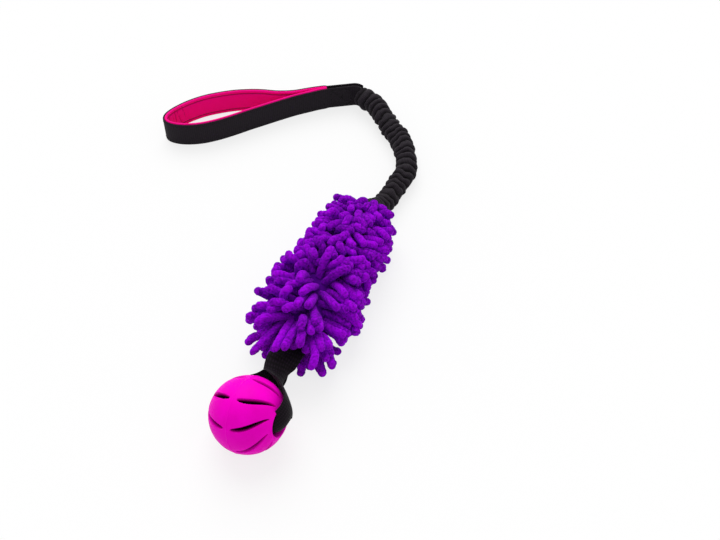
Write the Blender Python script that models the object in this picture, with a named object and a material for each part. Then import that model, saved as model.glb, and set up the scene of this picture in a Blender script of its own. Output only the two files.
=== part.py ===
"""Bungee tug toy for a dog, lying relaxed on a floor.

A hand loop of webbing lined with soft pad ends in a stitched stem. A ruched bungee, elastic cord
inside a gathered sleeve, runs from the stem to a mop of rolled fleece noodles. A flat strap leaves
the other end of the mop, goes through a grooved rubber ball and comes back to the mop.

The mop lies along Y with the ball towards -Y. Z is up and the floor is Z = 0. Metres throughout.
"""

import math

import bmesh
import bpy
from mathutils import Matrix, Vector

for old_object in list(bpy.data.objects):
    bpy.data.objects.remove(old_object, do_unlink=True)

# The middle of the whole toy's footprint is the origin, so the mop stands beside it.
MOP_FROM_ORIGIN_X = 0.0944
MOP_FROM_ORIGIN_Y = -0.0227
TOUCH_GAP = 0.0003

# Mop: rolled fleece cut in slices, with noodles drawn out of its cells.
CORE_LENGTH = 0.147
CORE_RADIUS = 0.0185
CORE_HEIGHT = 0.025
MOP_RADIUS = 0.045
SLICES = 6
RINGS_IN_SLICE = 3
CELLS_ROUND = 16
NOODLE_WIDTH = 0.0062
NOODLE_FLOOR_HEIGHT = 0.0026
SHORT_NOODLE_WIDTH = 0.0050
SHORT_NOODLE_SPREAD_SHARE = 1.4
NOODLE_WANDER = 0.0008
NOODLE_SHORTEST_SHARE = 0.90
FRINGE_RADIUS = 0.027
FRINGE_REACH = 0.020
FRINGE_ROOT_RADIUS = 0.0142
FRINGE_FLOOR_HEIGHT = 0.0100
FAN_REACH = 0.016
FAN_DRAW_IN = 0.005
FAN_RINGS = 4

# Webbing of the ball strap, the mop's core and the hand loop.
WEBBING_WIDTH = 0.025
WEBBING_THICKNESS = 0.0016
STRAP_TAIL = 0.030
CORE_WEBBING_SETBACK = 0.002
CORE_WEBBING_END_COVER = 0.014

# Ball: hollow rubber, a bore through its poles, swirled grooves on each half.
BALL_DIAMETER = 0.060
BALL_WALL = 0.0095
BORE_DIAMETER = 0.021
RIM_ROUNDING = 0.0015
BALL_SEGMENTS = 32
BALL_TILT = math.radians(12)
BALL_FROM_MOP_X = 0.0032
BALL_FROM_MOUTH = 0.0859
GROOVES_PER_HALF = 8
GROOVE_WIDTH = 0.0046
GROOVE_DEPTH = 0.0042
GROOVE_TIP_WIDTH = 0.0006
GROOVE_TIP_DEPTH = 0.0005
GROOVE_EQUATOR_ANGLE = math.radians(84)
GROOVE_POLE_ANGLE = math.radians(29)
GROOVE_SWIRL = math.radians(40)
GROOVE_START_ANGLE = math.radians(13)
CUTTER_OVERRUN = 0.0015

# Strap: clearance to the bore wall that it is pulled against.
STRAP_BORE_CLEARANCE = 0.0004

# Bungee: gathered sleeve over an elastic cord of rubber in a woven sheath.
SLEEVE_DIAMETER = 0.0204
SLEEVE_VALLEY_DIAMETER = 0.0170
SLEEVE_RIBS = 23
CORD_SECTIONS = 16
CORD_DIAMETER = 0.0098
RUBBER_DIAMETER = 0.0070
CORD_CLEARANCE = 0.0004
TAB_WIDTH = 0.021
TAB_THICKNESS = 0.0020
TAB_LENGTH = 0.026

# Hand loop: a strip of webbing stood on edge, with a soft lining inside it.
LOOP_LENGTH = 0.162
LOOP_WIDTH = 0.045
LINING_WIDTH = 0.026
LINING_THICKNESS = 0.0018
LINING_CROWN = 0.0006
STEM_LENGTH = 0.0262
STEM_BEND_RADIUS = 0.009
STEM_BEND = math.radians(57)

# Stitching: flat threads that stand just proud of the webbing.
THREAD_WIDTH = 0.0008
THREAD_HEIGHT = 0.0005
BOX_STITCH_LENGTH = 0.020
BOX_STITCH_WIDTH = 0.019
TACK_LENGTH = 0.018
TACK_SPACING = 0.005
TACK_SETBACK = 0.008
TACK_ROWS = 3

# The bungee's centreline from the mop's end to the stem, as it lies, chosen by hand.
BUNGEE_ROUTE = [
    (0.0000, 0.0000, 0.0000),
    (0.0000, 0.0100, 0.0000),
    (0.0000, 0.0205, 0.0000),
    (0.0006, 0.0315, -0.0022),
    (0.0022, 0.0435, -0.0067),
    (0.0046, 0.0565, -0.0118),
    (0.0062, 0.0695, -0.0143),
    (0.0050, 0.0815, -0.0144),
    (0.0006, 0.0925, -0.0144),
    (-0.0060, 0.1035, -0.0144),
    (-0.0145, 0.1140, -0.0144),
    (-0.0240, 0.1232, -0.0144),
    (-0.0340, 0.1318, -0.0140),
    (-0.0446, 0.1405, -0.0130),
    (-0.0558, 0.1489, -0.0120),
    (-0.0651, 0.1531, -0.0120),
    (-0.0744, 0.1573, -0.0120),
]

# The loop's middle line, from the stem round the tip and back: shares of its length and width.
LOOP_SHARES = [
    (0.060, -0.048),
    (0.113, -0.046),
    (0.214, -0.020),
    (0.312, -0.062),
    (0.404, -0.158),
    (0.491, -0.213),
    (0.597, -0.233),
    (0.715, -0.193),
    (0.801, -0.122),
    (0.892, 0.013),
    (0.962, 0.185),
    (0.996, 0.345),
    (1.000, 0.493),
    (0.969, 0.612),
    (0.915, 0.698),
    (0.854, 0.742),
    (0.786, 0.751),
    (0.697, 0.707),
    (0.605, 0.629),
    (0.504, 0.516),
    (0.407, 0.407),
    (0.311, 0.300),
    (0.212, 0.198),
    (0.113, 0.120),
    (0.060, 0.072),
]

# One leg of the strap round the ball, from the mop to the bore's rim, as shares of the ball's
# radius (across, towards the mop, up), then its turn from flat in degrees.
RIGHT_LEG_SHARES = [
    (-0.07, 2.07, -0.02, 14),
    (0.05, 1.68, 0.05, 24),
    (0.23, 1.42, 0.04, 46),
    (0.47, 1.22, 0.02, 70),
    (0.71, 0.98, 0.00, 88),
    (0.91, 0.72, 0.00, 90),
]
LEFT_LEG_SHARES = [
    (-0.09, 2.07, -0.08, 14),
    (-0.17, 1.74, -0.13, 22),
    (-0.32, 1.49, -0.14, 44),
    (-0.52, 1.26, -0.12, 68),
    (-0.74, 0.99, -0.07, 86),
    (-0.91, 0.72, -0.02, 90),
]


def linear_colour(hex_colour):
    """Turn an sRGB hex value into the linear colour that a shader socket takes."""
    channels = [int(hex_colour[i : i + 2], 16) / 255 for i in (0, 2, 4)]
    linear = [c / 12.92 if c <= 0.04045 else ((c + 0.055) / 1.055) ** 2.4 for c in channels]
    return (*linear, 1.0)


def make_material(name, hex_colour, roughness):
    """A plain finish with the photographed colour."""
    material = bpy.data.materials.new(name)
    material.use_nodes = True
    shader = material.node_tree.nodes["Principled BSDF"]
    shader.inputs["Base Color"].default_value = linear_colour(hex_colour)
    shader.inputs["Roughness"].default_value = roughness
    shader.inputs["Metallic"].default_value = 0.0
    return material


BLACK_WEBBING = make_material("black_webbing", "1A171A", 0.75)
PINK_LINING = make_material("pink_lining", "D8006A", 0.85)
PURPLE_FLEECE = make_material("purple_fleece", "7E00C4", 0.95)
MAGENTA_RUBBER = make_material("magenta_rubber", "FF00D2", 0.35)
BLACK_THREAD = make_material("black_thread", "0E0D0F", 0.70)
GREY_RUBBER = make_material("grey_rubber", "8C8880", 0.60)


def make_empty(name, location, parent=None, rotation=(0.0, 0.0, 0.0)):
    """A frame that pieces hang from."""
    empty = bpy.data.objects.new(name, None)
    empty.location = location
    empty.rotation_euler = rotation
    empty.parent = parent
    bpy.context.collection.objects.link(empty)
    return empty


def make_object(name, bm, material, parent):
    """Turn a bmesh into a piece, with its faces pointing out."""
    bmesh.ops.recalc_face_normals(bm, faces=bm.faces)
    mesh = bpy.data.meshes.new(name)
    bm.to_mesh(mesh)
    bm.free()
    mesh.materials.append(material)
    mesh.shade_smooth()
    mesh.set_sharp_from_angle(angle=math.radians(40))
    piece = bpy.data.objects.new(name, mesh)
    piece.parent = parent
    bpy.context.collection.objects.link(piece)
    return piece


def add_skin(bm, rings, closed):
    """Join a row of vertex rings into one body: a bar with end caps, or a ring-shaped body."""
    loops = [[bm.verts.new(point) for point in ring] for ring in rings]
    pairs = list(zip(loops, loops[1:]))
    if closed:
        pairs.append((loops[-1], loops[0]))
    for first, second in pairs:
        for k in range(len(first)):
            following = (k + 1) % len(first)
            bm.faces.new((first[k], first[following], second[following], second[k]))
    if not closed:
        bm.faces.new(loops[0])
        bm.faces.new(loops[-1])


def spline(values, steps):
    """Points on the smooth curve through the given ones, with even steps between each pair."""
    values = [Vector(value) for value in values]
    ends = [2 * values[0] - values[1], *values, 2 * values[-1] - values[-2]]
    curve = []
    for a, b, c, d in zip(ends, ends[1:], ends[2:], ends[3:]):
        for k in range(steps):
            t = k / steps
            squared = (2 * a - 5 * b + 4 * c - d) * t**2
            cubed = (3 * b - a - 3 * c + d) * t**3
            curve.append((2 * b + (c - a) * t + squared + cubed) / 2)
    curve.append(values[-1])
    return curve


def respaced(points, count):
    """The same line with its points an even distance apart."""
    marks = [0.0]
    for first, second in zip(points, points[1:]):
        marks.append(marks[-1] + (second - first).length)
    spaced = []
    at = 0
    for k in range(count):
        mark = marks[-1] * k / (count - 1)
        while at < len(marks) - 2 and marks[at + 1] < mark:
            at += 1
        share = (mark - marks[at]) / (marks[at + 1] - marks[at])
        spaced.append(points[at].lerp(points[at + 1], share))
    return spaced


def directions_along(points):
    """The direction of travel at each point of a line, true to the curve at its two ends."""
    travels = [b - a for a, b in zip(points, points[2:])]
    first = 4 * points[1] - 3 * points[0] - points[2]
    last = 3 * points[-1] - 4 * points[-2] + points[-3]
    return [travel.normalized() for travel in (first, *travels, last)]


def ribbon_ring(centre, across, outward, width, thickness, curl, steps):
    """One section of a ribbon. Where curl, 1 / radius, isn't 0 its edges bend outward on an arc."""
    upper, lower = [], []
    for k in range(steps + 1):
        reach = width * (k / steps - 1 / 2)
        if curl:
            middle = centre + across * (math.sin(reach * curl) / curl)
            middle += outward * ((1 - math.cos(reach * curl)) / curl)
        else:
            middle = centre + across * reach
        normal = outward * math.cos(reach * curl) - across * math.sin(reach * curl)
        upper.append(middle + normal * thickness / 2)
        lower.append(middle - normal * thickness / 2)
    return upper + lower[::-1]


def add_pierced_plate(bm, outline, holes, rise):
    """A flat body with holes through it, as thick as the rise: stitching seen as one piece."""
    loops = []
    for loop in (outline, *holes):
        lower = [bm.verts.new(point) for point in loop]
        upper = [bm.verts.new(point + rise) for point in loop]
        for k in range(len(loop)):
            following = (k + 1) % len(loop)
            bm.faces.new((lower[k], lower[following], upper[following], upper[k]))
        loops.append((lower, upper))
    for level in (0, 1):
        edges = [
            bm.edges.get((pair[level][k], pair[level][(k + 1) % len(pair[level])]))
            for pair in loops
            for k in range(len(pair[level]))
        ]
        bmesh.ops.triangle_fill(bm, use_beauty=True, edges=edges)


# Frames: the toy, the mop's axis, the mouths at the mop's two ends, the ball and the stem.
toy = make_empty("toy", (MOP_FROM_ORIGIN_X, MOP_FROM_ORIGIN_Y, 0))
mop_axis = make_empty("mop_axis", (0, 0, CORE_HEIGHT), toy)
strap_hinge = make_empty("strap_hinge", (0, -CORE_LENGTH / 2, CORE_HEIGHT), toy)
ball_radius = BALL_DIAMETER / 2
ball_offset = Vector((BALL_FROM_MOP_X, -BALL_FROM_MOUTH, ball_radius - CORE_HEIGHT))
ball_centre = make_empty("ball_centre", ball_offset, strap_hinge, (0, -BALL_TILT, 0))
bungee_root = make_empty("bungee_root", (0, CORE_LENGTH / 2 + TOUCH_GAP, CORE_HEIGHT), toy)
stem_point = Vector(BUNGEE_ROUTE[-1])
last_run = stem_point - Vector(BUNGEE_ROUTE[-2])
stem_heading = math.atan2(last_run.y, last_run.x) + STEM_BEND
stem_end = make_empty("stem_end", stem_point, bungee_root, (0, 0, stem_heading))


# Mop: slices of the rolled fleece, a slot through each for the webbing.
slice_length = (CORE_LENGTH - (SLICES - 1) * TOUCH_GAP) / SLICES
cell_length = slice_length / RINGS_IN_SLICE
layer_pitch = WEBBING_THICKNESS + TOUCH_GAP
tab_level = WEBBING_THICKNESS / 2 + TOUCH_GAP + TAB_THICKNESS / 2
thread_room = 2 * TOUCH_GAP + THREAD_HEIGHT
strap_slot_top = layer_pitch + WEBBING_THICKNESS / 2 + thread_room
strap_slot_bottom = layer_pitch + WEBBING_THICKNESS / 2 + TOUCH_GAP
tab_slot_top = tab_level + TAB_THICKNESS / 2 + thread_room
webbing_slot = WEBBING_THICKNESS / 2 + TOUCH_GAP
even_wander_share = (math.sqrt(5) - 1) / 2
slot_half_width = WEBBING_WIDTH / 2 + TOUCH_GAP


def slot_limits(index):
    """Lower and upper face of a slice's slot, from the mop's axis."""
    start = index * (slice_length + TOUCH_GAP)
    if start < STRAP_TAIL:
        return -strap_slot_bottom, strap_slot_top
    if start + slice_length > CORE_LENGTH - TAB_LENGTH:
        return -webbing_slot, tab_slot_top
    return -webbing_slot, webbing_slot


def round_point(radius, angle, along):
    """A point at an angle and distance from the mop's axis."""
    return Vector((radius * math.cos(angle), along, radius * math.sin(angle)))


def noodle_tip(radius, angle, along, floor_height):
    """Where a noodle ends: on the mop's round outline, or down near the floor."""
    tip = round_point(radius, angle, along)
    tip.z = max(tip.z, floor_height - CORE_HEIGHT)
    return tip


def draw_noodle(bm, face, angle, leaving, tip, width):
    """Draw one cell of the fleece out into a noodle that bends over to its tip."""
    tangent = Vector((-math.sin(angle), 0, math.cos(angle)))
    root = face.calc_center_median()
    span = tip - root
    rise = root + leaving * span.length * 0.28
    stations = [rise, rise.lerp(tip, 0.52), tip]
    if span.length < 2 * width:
        stations = [rise, tip]
    heading = leaving
    last = root
    for point in stations:
        heading = (heading + (point - last).normalized()).normalized()
        across = (tangent - heading * tangent.dot(heading)).normalized()
        upright = heading.cross(across)
        centre = face.calc_center_median()
        corners = [vert.co - centre for vert in face.verts]
        sides = [
            (math.copysign(1, corner.dot(across)), math.copysign(1, corner.dot(upright)))
            for corner in corners
        ]
        face = bmesh.ops.extrude_discrete_faces(bm, faces=[face])["faces"][0]
        for vert, (side, lift) in zip(face.verts, sides):
            vert.co = point + across * side * width / 2 + upright * lift * width / 2
        last = point


def fleece_slice(index):
    """One slice of the roll, with the noodles of its three rings and, at an end, of its fringe."""
    bm = bmesh.new()
    start = -CORE_LENGTH / 2 + index * (slice_length + TOUCH_GAP)
    turn = 2 * math.pi / CELLS_ROUND
    low, high = slot_limits(index)
    rings = []
    for k in range(RINGS_IN_SLICE + 1):
        along = start + k * cell_length
        ring = [round_point(CORE_RADIUS, j * turn, along) for j in range(CELLS_ROUND)]
        rings.append([bm.verts.new(point) for point in ring])
    corners = [(-1, low), (1, low), (1, high), (-1, high)]
    slots = [
        [bm.verts.new((side * slot_half_width, along, level)) for side, level in corners]
        for along in (start, start + slice_length)
    ]
    for k in range(4):
        bm.faces.new((slots[0][k], slots[0][(k + 1) % 4], slots[1][(k + 1) % 4], slots[1][k]))
    cells = []
    for k in range(RINGS_IN_SLICE):
        for j in range(CELLS_ROUND):
            corner = (j + 1) % CELLS_ROUND
            near, far = rings[k], rings[k + 1]
            face = bm.faces.new((near[j], near[corner], far[corner], far[j]))
            cells.append((face, index * RINGS_IN_SLICE + k, j))
    fringe = []
    for end, ring, slot in ((-1, rings[0], slots[0]), (1, rings[-1], slots[1])):
        outline = ring
        if (index, end) in ((0, -1), (SLICES - 1, 1)):
            along = ring[0].co.y
            inner = [round_point(FRINGE_ROOT_RADIUS, j * turn, along) for j in range(CELLS_ROUND)]
            outline = [bm.verts.new(point) for point in inner]
            for j in range(CELLS_ROUND):
                corner = (j + 1) % CELLS_ROUND
                face = bm.faces.new((ring[j], ring[corner], outline[corner], outline[j]))
                if j % 2 == 0:
                    fringe.append((face, end, j))
        edges = []
        for loop in (outline, slot):
            edges += [bm.edges.get(pair) for pair in zip(loop, loop[1:] + loop[:1])]
        bmesh.ops.triangle_fill(bm, use_beauty=True, edges=edges)
    last_ring = SLICES * RINGS_IN_SLICE - 1
    lowest_cell = 3 * CELLS_ROUND / 4
    for face, ring_number, j in cells:
        angle = (j + 1 / 2) * turn
        wander = ((ring_number * CELLS_ROUND + j) * even_wander_share) % 1.0
        from_end = min(ring_number, last_ring - ring_number)
        fan = max(0.0, 1 - from_end / FAN_RINGS) ** 2
        towards_end = -1 if ring_number < last_ring / 2 else 1
        lean = turn / 4 if ring_number % 2 else -turn / 4
        length_share = NOODLE_SHORTEST_SHARE + (1 - NOODLE_SHORTEST_SHARE) * wander
        reach = MOP_RADIUS * length_share - FAN_DRAW_IN * fan
        root = face.calc_center_median()
        width = NOODLE_WIDTH
        underneath = abs(j + 1 / 2 - lowest_cell) < 1
        beside = 1 < abs(j + 1 / 2 - lowest_cell) < 2
        if beside:
            lean = math.copysign(turn / 4, lowest_cell - j)
        if (underneath or beside) and from_end:
            fan = 0
        along = root.y + towards_end * FAN_REACH * fan
        along += NOODLE_WANDER * (2 * wander - 1) * (1 - fan)
        tip = noodle_tip(reach, angle + lean, along, NOODLE_FLOOR_HEIGHT)
        if underneath:
            # The core all but rests on these, so they are short and stay under it.
            tip.x = root.x * SHORT_NOODLE_SPREAD_SHARE
            width = SHORT_NOODLE_WIDTH
        draw_noodle(bm, face, angle, round_point(1, angle, 0), tip, width)
    for face, end, j in fringe:
        angle = (j + 1 / 2) * turn
        reach = end * (CORE_LENGTH / 2 + FRINGE_REACH)
        tip = noodle_tip(FRINGE_RADIUS, angle, reach, FRINGE_FLOOR_HEIGHT)
        draw_noodle(bm, face, angle, Vector((0, end, 0)), tip, NOODLE_WIDTH)
    # The mop rests on its noodles, so what would sink into the floor is cut flat.
    everything = bm.verts[:] + bm.edges[:] + bm.faces[:]
    floor = (0, 0, -CORE_HEIGHT)
    bmesh.ops.bisect_plane(bm, geom=everything, plane_co=floor, plane_no=(0, 0, -1), clear_outer=True)
    open_edges = [edge for edge in bm.edges if len(edge.link_faces) == 1]
    if open_edges:
        bmesh.ops.holes_fill(bm, edges=open_edges, sides=0)
    return make_object(f"mop_fleece_{index + 1}", bm, PURPLE_FLEECE, mop_axis)


for slice_index in range(SLICES):
    fleece_slice(slice_index)


# Core webbing: the flat strip that runs down the middle of the mop.
def flat_strip(name, start, end, level, width, thickness, material, parent):
    """A straight strip along Y between two places, lying flat."""
    bm = bmesh.new()
    across, up = Vector((1, 0, 0)), Vector((0, 0, 1))
    rings = [
        ribbon_ring(Vector((0, along, level)), across, up, width, thickness, 0, 1)
        for along in (start, end)
    ]
    add_skin(bm, rings, closed=False)
    return make_object(name, bm, material, parent)


core_half = CORE_LENGTH / 2
flat_strip(
    "core_webbing",
    -core_half + CORE_WEBBING_SETBACK,
    core_half - CORE_WEBBING_END_COVER,
    0,
    WEBBING_WIDTH,
    WEBBING_THICKNESS,
    BLACK_WEBBING,
    mop_axis,
)
flat_strip(
    "bungee_lower_tab",
    core_half - TAB_LENGTH,
    core_half,
    tab_level,
    TAB_WIDTH,
    TAB_THICKNESS,
    BLACK_WEBBING,
    mop_axis,
)


def tack_rows(name, first_row, level):
    """Rows of stitching across the strip, through everything under it, run on from one another."""
    half = TACK_LENGTH / 2
    inner = half - THREAD_WIDTH
    last_row = first_row + (TACK_ROWS - 1) * TACK_SPACING + THREAD_WIDTH
    outline = [(-half, first_row), (half, first_row), (half, last_row), (-half, last_row)]
    holes = []
    for k in range(TACK_ROWS - 1):
        near = first_row + k * TACK_SPACING + THREAD_WIDTH
        far = first_row + (k + 1) * TACK_SPACING
        holes.append([(-inner, near), (inner, near), (inner, far), (-inner, far)])
    bm = bmesh.new()
    raised = [[Vector((x, y, level)) for x, y in loop] for loop in (outline, *holes)]
    add_pierced_plate(bm, raised[0], raised[1:], Vector((0, 0, THREAD_HEIGHT)))
    return make_object(name, bm, BLACK_THREAD, mop_axis)


strap_top = layer_pitch + WEBBING_THICKNESS / 2 + TOUCH_GAP
tack_rows("strap_tail_stitching", -core_half + TACK_SETBACK, strap_top)
tab_top = tab_level + TAB_THICKNESS / 2 + TOUCH_GAP
tack_rows("bungee_tab_stitching", core_half - TACK_SETBACK - (TACK_ROWS - 1) * TACK_SPACING, tab_top)


# Ball: a turned profile about the bore, with the grooves cut out of it.
bore_radius = BORE_DIAMETER / 2
inner_radius = ball_radius - BALL_WALL
rim_radius = bore_radius + RIM_ROUNDING


def ball_profile():
    """Distance along the bore and from it, over the outside and back through the inside."""
    rim_reach = math.sqrt(ball_radius**2 - rim_radius**2)
    outer_start = math.asin(rim_radius / ball_radius)
    inner_start = math.asin(bore_radius / inner_radius)
    outside = [
        (ball_radius * math.cos(a), ball_radius * math.sin(a))
        for a in (outer_start + (math.pi - 2 * outer_start) * k / 14 for k in range(15))
    ]
    inside = [
        (inner_radius * math.cos(a), inner_radius * math.sin(a))
        for a in (math.pi - inner_start - (math.pi - 2 * inner_start) * k / 8 for k in range(9))
    ]
    lip = (rim_reach - RIM_ROUNDING * 0.22, bore_radius + RIM_ROUNDING * 0.27)
    wall = (rim_reach - RIM_ROUNDING * 0.75, bore_radius)
    right_rim = [wall, lip]
    left_rim = [(-x, r) for x, r in reversed(right_rim)]
    return right_rim + outside + left_rim + inside


def add_groove(bm, turn, side):
    """A cutter for one groove: lens-shaped, deepest in its middle, curving towards the pole."""
    rings = []
    steps = 8
    for k in range(steps + 1):
        share = k / steps
        points = []
        for nudge in (0, 0.01):
            from_equator = share + nudge
            polar = GROOVE_EQUATOR_ANGLE + (GROOVE_POLE_ANGLE - GROOVE_EQUATOR_ANGLE) * from_equator
            around = turn - GROOVE_SWIRL * from_equator**2
            ring_radius = math.sin(polar)
            level = ring_radius * math.sin(around)
            points.append(Vector((side * math.cos(polar), ring_radius * math.cos(around), level)))
        outward = points[0]
        across = outward.cross(points[1] - points[0]).normalized()
        swell = math.sin(math.pi * share) ** 0.8
        half_width = (GROOVE_TIP_WIDTH + (GROOVE_WIDTH - GROOVE_TIP_WIDTH) * swell) / 2
        depth = GROOVE_TIP_DEPTH + (GROOVE_DEPTH - GROOVE_TIP_DEPTH) * swell
        top = outward * (ball_radius + CUTTER_OVERRUN)
        floor = outward * (ball_radius - depth) + across * half_width * 0.35
        widened = across * half_width * 1.3
        narrow = across * half_width * 0.30
        rings.append([top - widened, top + widened, floor + narrow, floor - narrow])
    add_skin(bm, rings, closed=False)


ball_mesh = bmesh.new()
profile = ball_profile()
ball_rings = []
for segment in range(BALL_SEGMENTS):
    spoke = 2 * math.pi * segment / BALL_SEGMENTS
    ball_rings.append([Vector((x, r * math.cos(spoke), r * math.sin(spoke))) for x, r in profile])
add_skin(ball_mesh, ball_rings, closed=True)
ball = make_object("ball", ball_mesh, MAGENTA_RUBBER, ball_centre)

cutter_mesh = bmesh.new()
for half_side in (1, -1):
    for groove in range(GROOVES_PER_HALF):
        add_groove(cutter_mesh, GROOVE_START_ANGLE + 2 * math.pi * groove / GROOVES_PER_HALF, half_side)
groove_cutter = make_object("groove_cutter", cutter_mesh, MAGENTA_RUBBER, ball_centre)
groove_cutter.hide_render = True
groove_cutter.display_type = "WIRE"
grooving = ball.modifiers.new("grooves", "BOOLEAN")
grooving.operation = "DIFFERENCE"
grooving.solver = "EXACT"
grooving.object = groove_cutter


# Ball strap: one strip of webbing, out of the mop, round and through the ball, and back.
ball_frame = Matrix.Translation(ball_offset) @ Matrix.Rotation(-BALL_TILT, 4, "Y")
into_ball = ball_frame.inverted()
seat_radius = bore_radius - STRAP_BORE_CLEARANCE - WEBBING_THICKNESS / 2
seat_curl = 1 / seat_radius
rim_reach = math.sqrt(ball_radius**2 - bore_radius**2)
strap_margin = WEBBING_THICKNESS / 2 + STRAP_BORE_CLEARANCE
tilt_in_degrees = math.degrees(BALL_TILT)


def strap_stations():
    """Hand-set places of the strap in the ball's frame: point, turn from flat, curl of its edges."""
    stations = []
    for along in (STRAP_TAIL, STRAP_TAIL / 2, 0, -STRAP_TAIL / 6):
        stations.append((into_ball @ Vector((0, along, layer_pitch)), tilt_in_degrees, 0))
    for row, (x, y, z, turn) in enumerate(RIGHT_LEG_SHARES):
        lift = layer_pitch / 2 if row == 0 else 0
        stations.append((Vector((x, y, z)) * ball_radius + Vector((0, 0, lift)), turn, 0))
    over_rim = rim_reach + 2 * strap_margin
    inside = [
        (over_rim + RIM_ROUNDING / 3, seat_radius + 4 * strap_margin, 0.10),
        (over_rim + RIM_ROUNDING / 6, seat_radius + 1.9 * strap_margin, 0.50),
        (rim_reach + strap_margin / 2, seat_radius + strap_margin / 3, 0.95),
        (rim_reach - 2 * RIM_ROUNDING, seat_radius, 1.0),
        (inner_radius * 0.80, seat_radius, 1.0),
        (inner_radius * 0.40, seat_radius * 0.94, 0.75),
        (0, seat_radius * 0.90, 0.6),
    ]
    for x, y, curl in inside:
        stations.append((Vector((x, y, 0)), 90, curl * seat_curl))
    for x, y, curl in reversed(inside[:-1]):
        stations.append((Vector((-x, y, 0)), 90, curl * seat_curl))
    for row, (x, y, z, turn) in reversed(list(enumerate(LEFT_LEG_SHARES))):
        lift = -layer_pitch / 2 if row == 0 else 0
        stations.append((Vector((x, y, z)) * ball_radius + Vector((0, 0, lift)), 180 - turn, 0))
    for along in (-STRAP_TAIL / 6, 0, STRAP_TAIL / 2, STRAP_TAIL):
        stations.append((into_ball @ Vector((0, along, -layer_pitch)), 180 - tilt_in_degrees, 0))
    return stations


def strap_rings():
    """Sections of the strap along the smooth line through its stations, in the hinge's frame."""
    stations = strap_stations()
    steps = 2
    line = spline([point for point, _, _ in stations], steps)
    turns = spline([(turn, curl, 0) for _, turn, curl in stations], steps)
    rings = []
    up = Vector((0, 0, 1))
    for point, travel, (turn, curl, _) in zip(line, directions_along(line), turns):
        level = travel.cross(up).normalized()
        upright = level.cross(travel).normalized()
        across = level * math.cos(math.radians(turn)) + upright * math.sin(math.radians(turn))
        outward = across.cross(travel).normalized()
        curl = max(curl, 0.0)
        ring = ribbon_ring(point, across, outward, WEBBING_WIDTH, WEBBING_THICKNESS, curl, 4)
        rings.append([ball_frame @ vertex for vertex in ring])
    return rings


strap_mesh = bmesh.new()
add_skin(strap_mesh, strap_rings(), closed=False)
make_object("ball_strap", strap_mesh, BLACK_WEBBING, strap_hinge)


# Bungee: the sleeve's gathers over the elastic cord, ends square to the mop and the stem.
def bungee_line(count):
    """The bungee's centreline as evenly spaced points, short of the stem by the gap."""
    line = respaced(spline(BUNGEE_ROUTE, 8), count)
    line[-1] = line[-1] - last_run.normalized() * TOUCH_GAP
    return line


def round_rings(line, radii, sides=8):
    """Round sections square to the bungee's line, which lies mostly level."""
    rings = []
    travels = directions_along(line)
    travels[0], travels[-1] = Vector((0, 1, 0)), last_run.normalized()
    for point, travel, radius in zip(line, travels, radii):
        side = travel.cross(Vector((0, 0, 1))).normalized()
        rise = side.cross(travel)
        angles = [2 * math.pi * (k + 1 / 2) / sides for k in range(sides)]
        rings.append([point + (side * math.cos(a) + rise * math.sin(a)) * radius for a in angles])
    return rings


def hose(name, line_count, radii, bore, material):
    """A hose along the bungee with a plain bore."""
    bm = bmesh.new()
    line = bungee_line(line_count)
    outside = round_rings(line, radii)
    inside = round_rings(bungee_line(CORD_SECTIONS), [bore] * CORD_SECTIONS)
    add_skin(bm, outside + inside[::-1], closed=True)
    return make_object(name, bm, material, bungee_root)


rib_points = 2 * SLEEVE_RIBS + 1
rib_radii = [(SLEEVE_DIAMETER if k % 2 else SLEEVE_VALLEY_DIAMETER) / 2 for k in range(rib_points)]
hose("bungee_sleeve", rib_points, rib_radii, CORD_DIAMETER / 2 + CORD_CLEARANCE, BLACK_WEBBING)
sheath_radii = [CORD_DIAMETER / 2] * CORD_SECTIONS
sheath_bore = RUBBER_DIAMETER / 2 + CORD_CLEARANCE
hose("cord_sheath", CORD_SECTIONS, sheath_radii, sheath_bore, BLACK_WEBBING)
rubber_mesh = bmesh.new()
rubber_rings = round_rings(bungee_line(CORD_SECTIONS), [RUBBER_DIAMETER / 2] * CORD_SECTIONS)
add_skin(rubber_mesh, rubber_rings, closed=False)
make_object("rubber_core", rubber_mesh, GREY_RUBBER, bungee_root)


# Hand loop: the webbing strip with both its ends in the stem, either side of the bungee's tab.
stem_axis_height = CORE_HEIGHT + stem_point.z
layer_offset = TAB_THICKNESS / 2 + TOUCH_GAP + WEBBING_THICKNESS / 2
stem_line_y = -STEM_BEND_RADIUS * (1 - math.cos(STEM_BEND))
stem_straight_x = STEM_BEND_RADIUS * math.sin(STEM_BEND)
loop_start_x = stem_straight_x + STEM_LENGTH


def stem_line(offset, length):
    """A layer of the stem, from its bent end towards the loop, at an offset to the near side."""
    centre = Vector((stem_straight_x, STEM_BEND_RADIUS + stem_line_y, 0))
    radius = STEM_BEND_RADIUS - offset
    bend_steps = 4
    line = []
    for k in range(bend_steps + 1):
        angle = STEM_BEND * (1 - k / bend_steps)
        line.append(centre + Vector((-math.sin(angle), -math.cos(angle), 0)) * radius)
    line.append(Vector((stem_straight_x + length / 2, stem_line_y + offset, 0)))
    line.append(Vector((stem_straight_x + length, stem_line_y + offset, 0)))
    return line


def loop_line():
    """The loop's middle line between the two stem layers."""
    return [
        Vector((loop_start_x + along * LOOP_LENGTH, stem_line_y + across * LOOP_WIDTH, 0))
        for along, across in LOOP_SHARES
    ]


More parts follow.
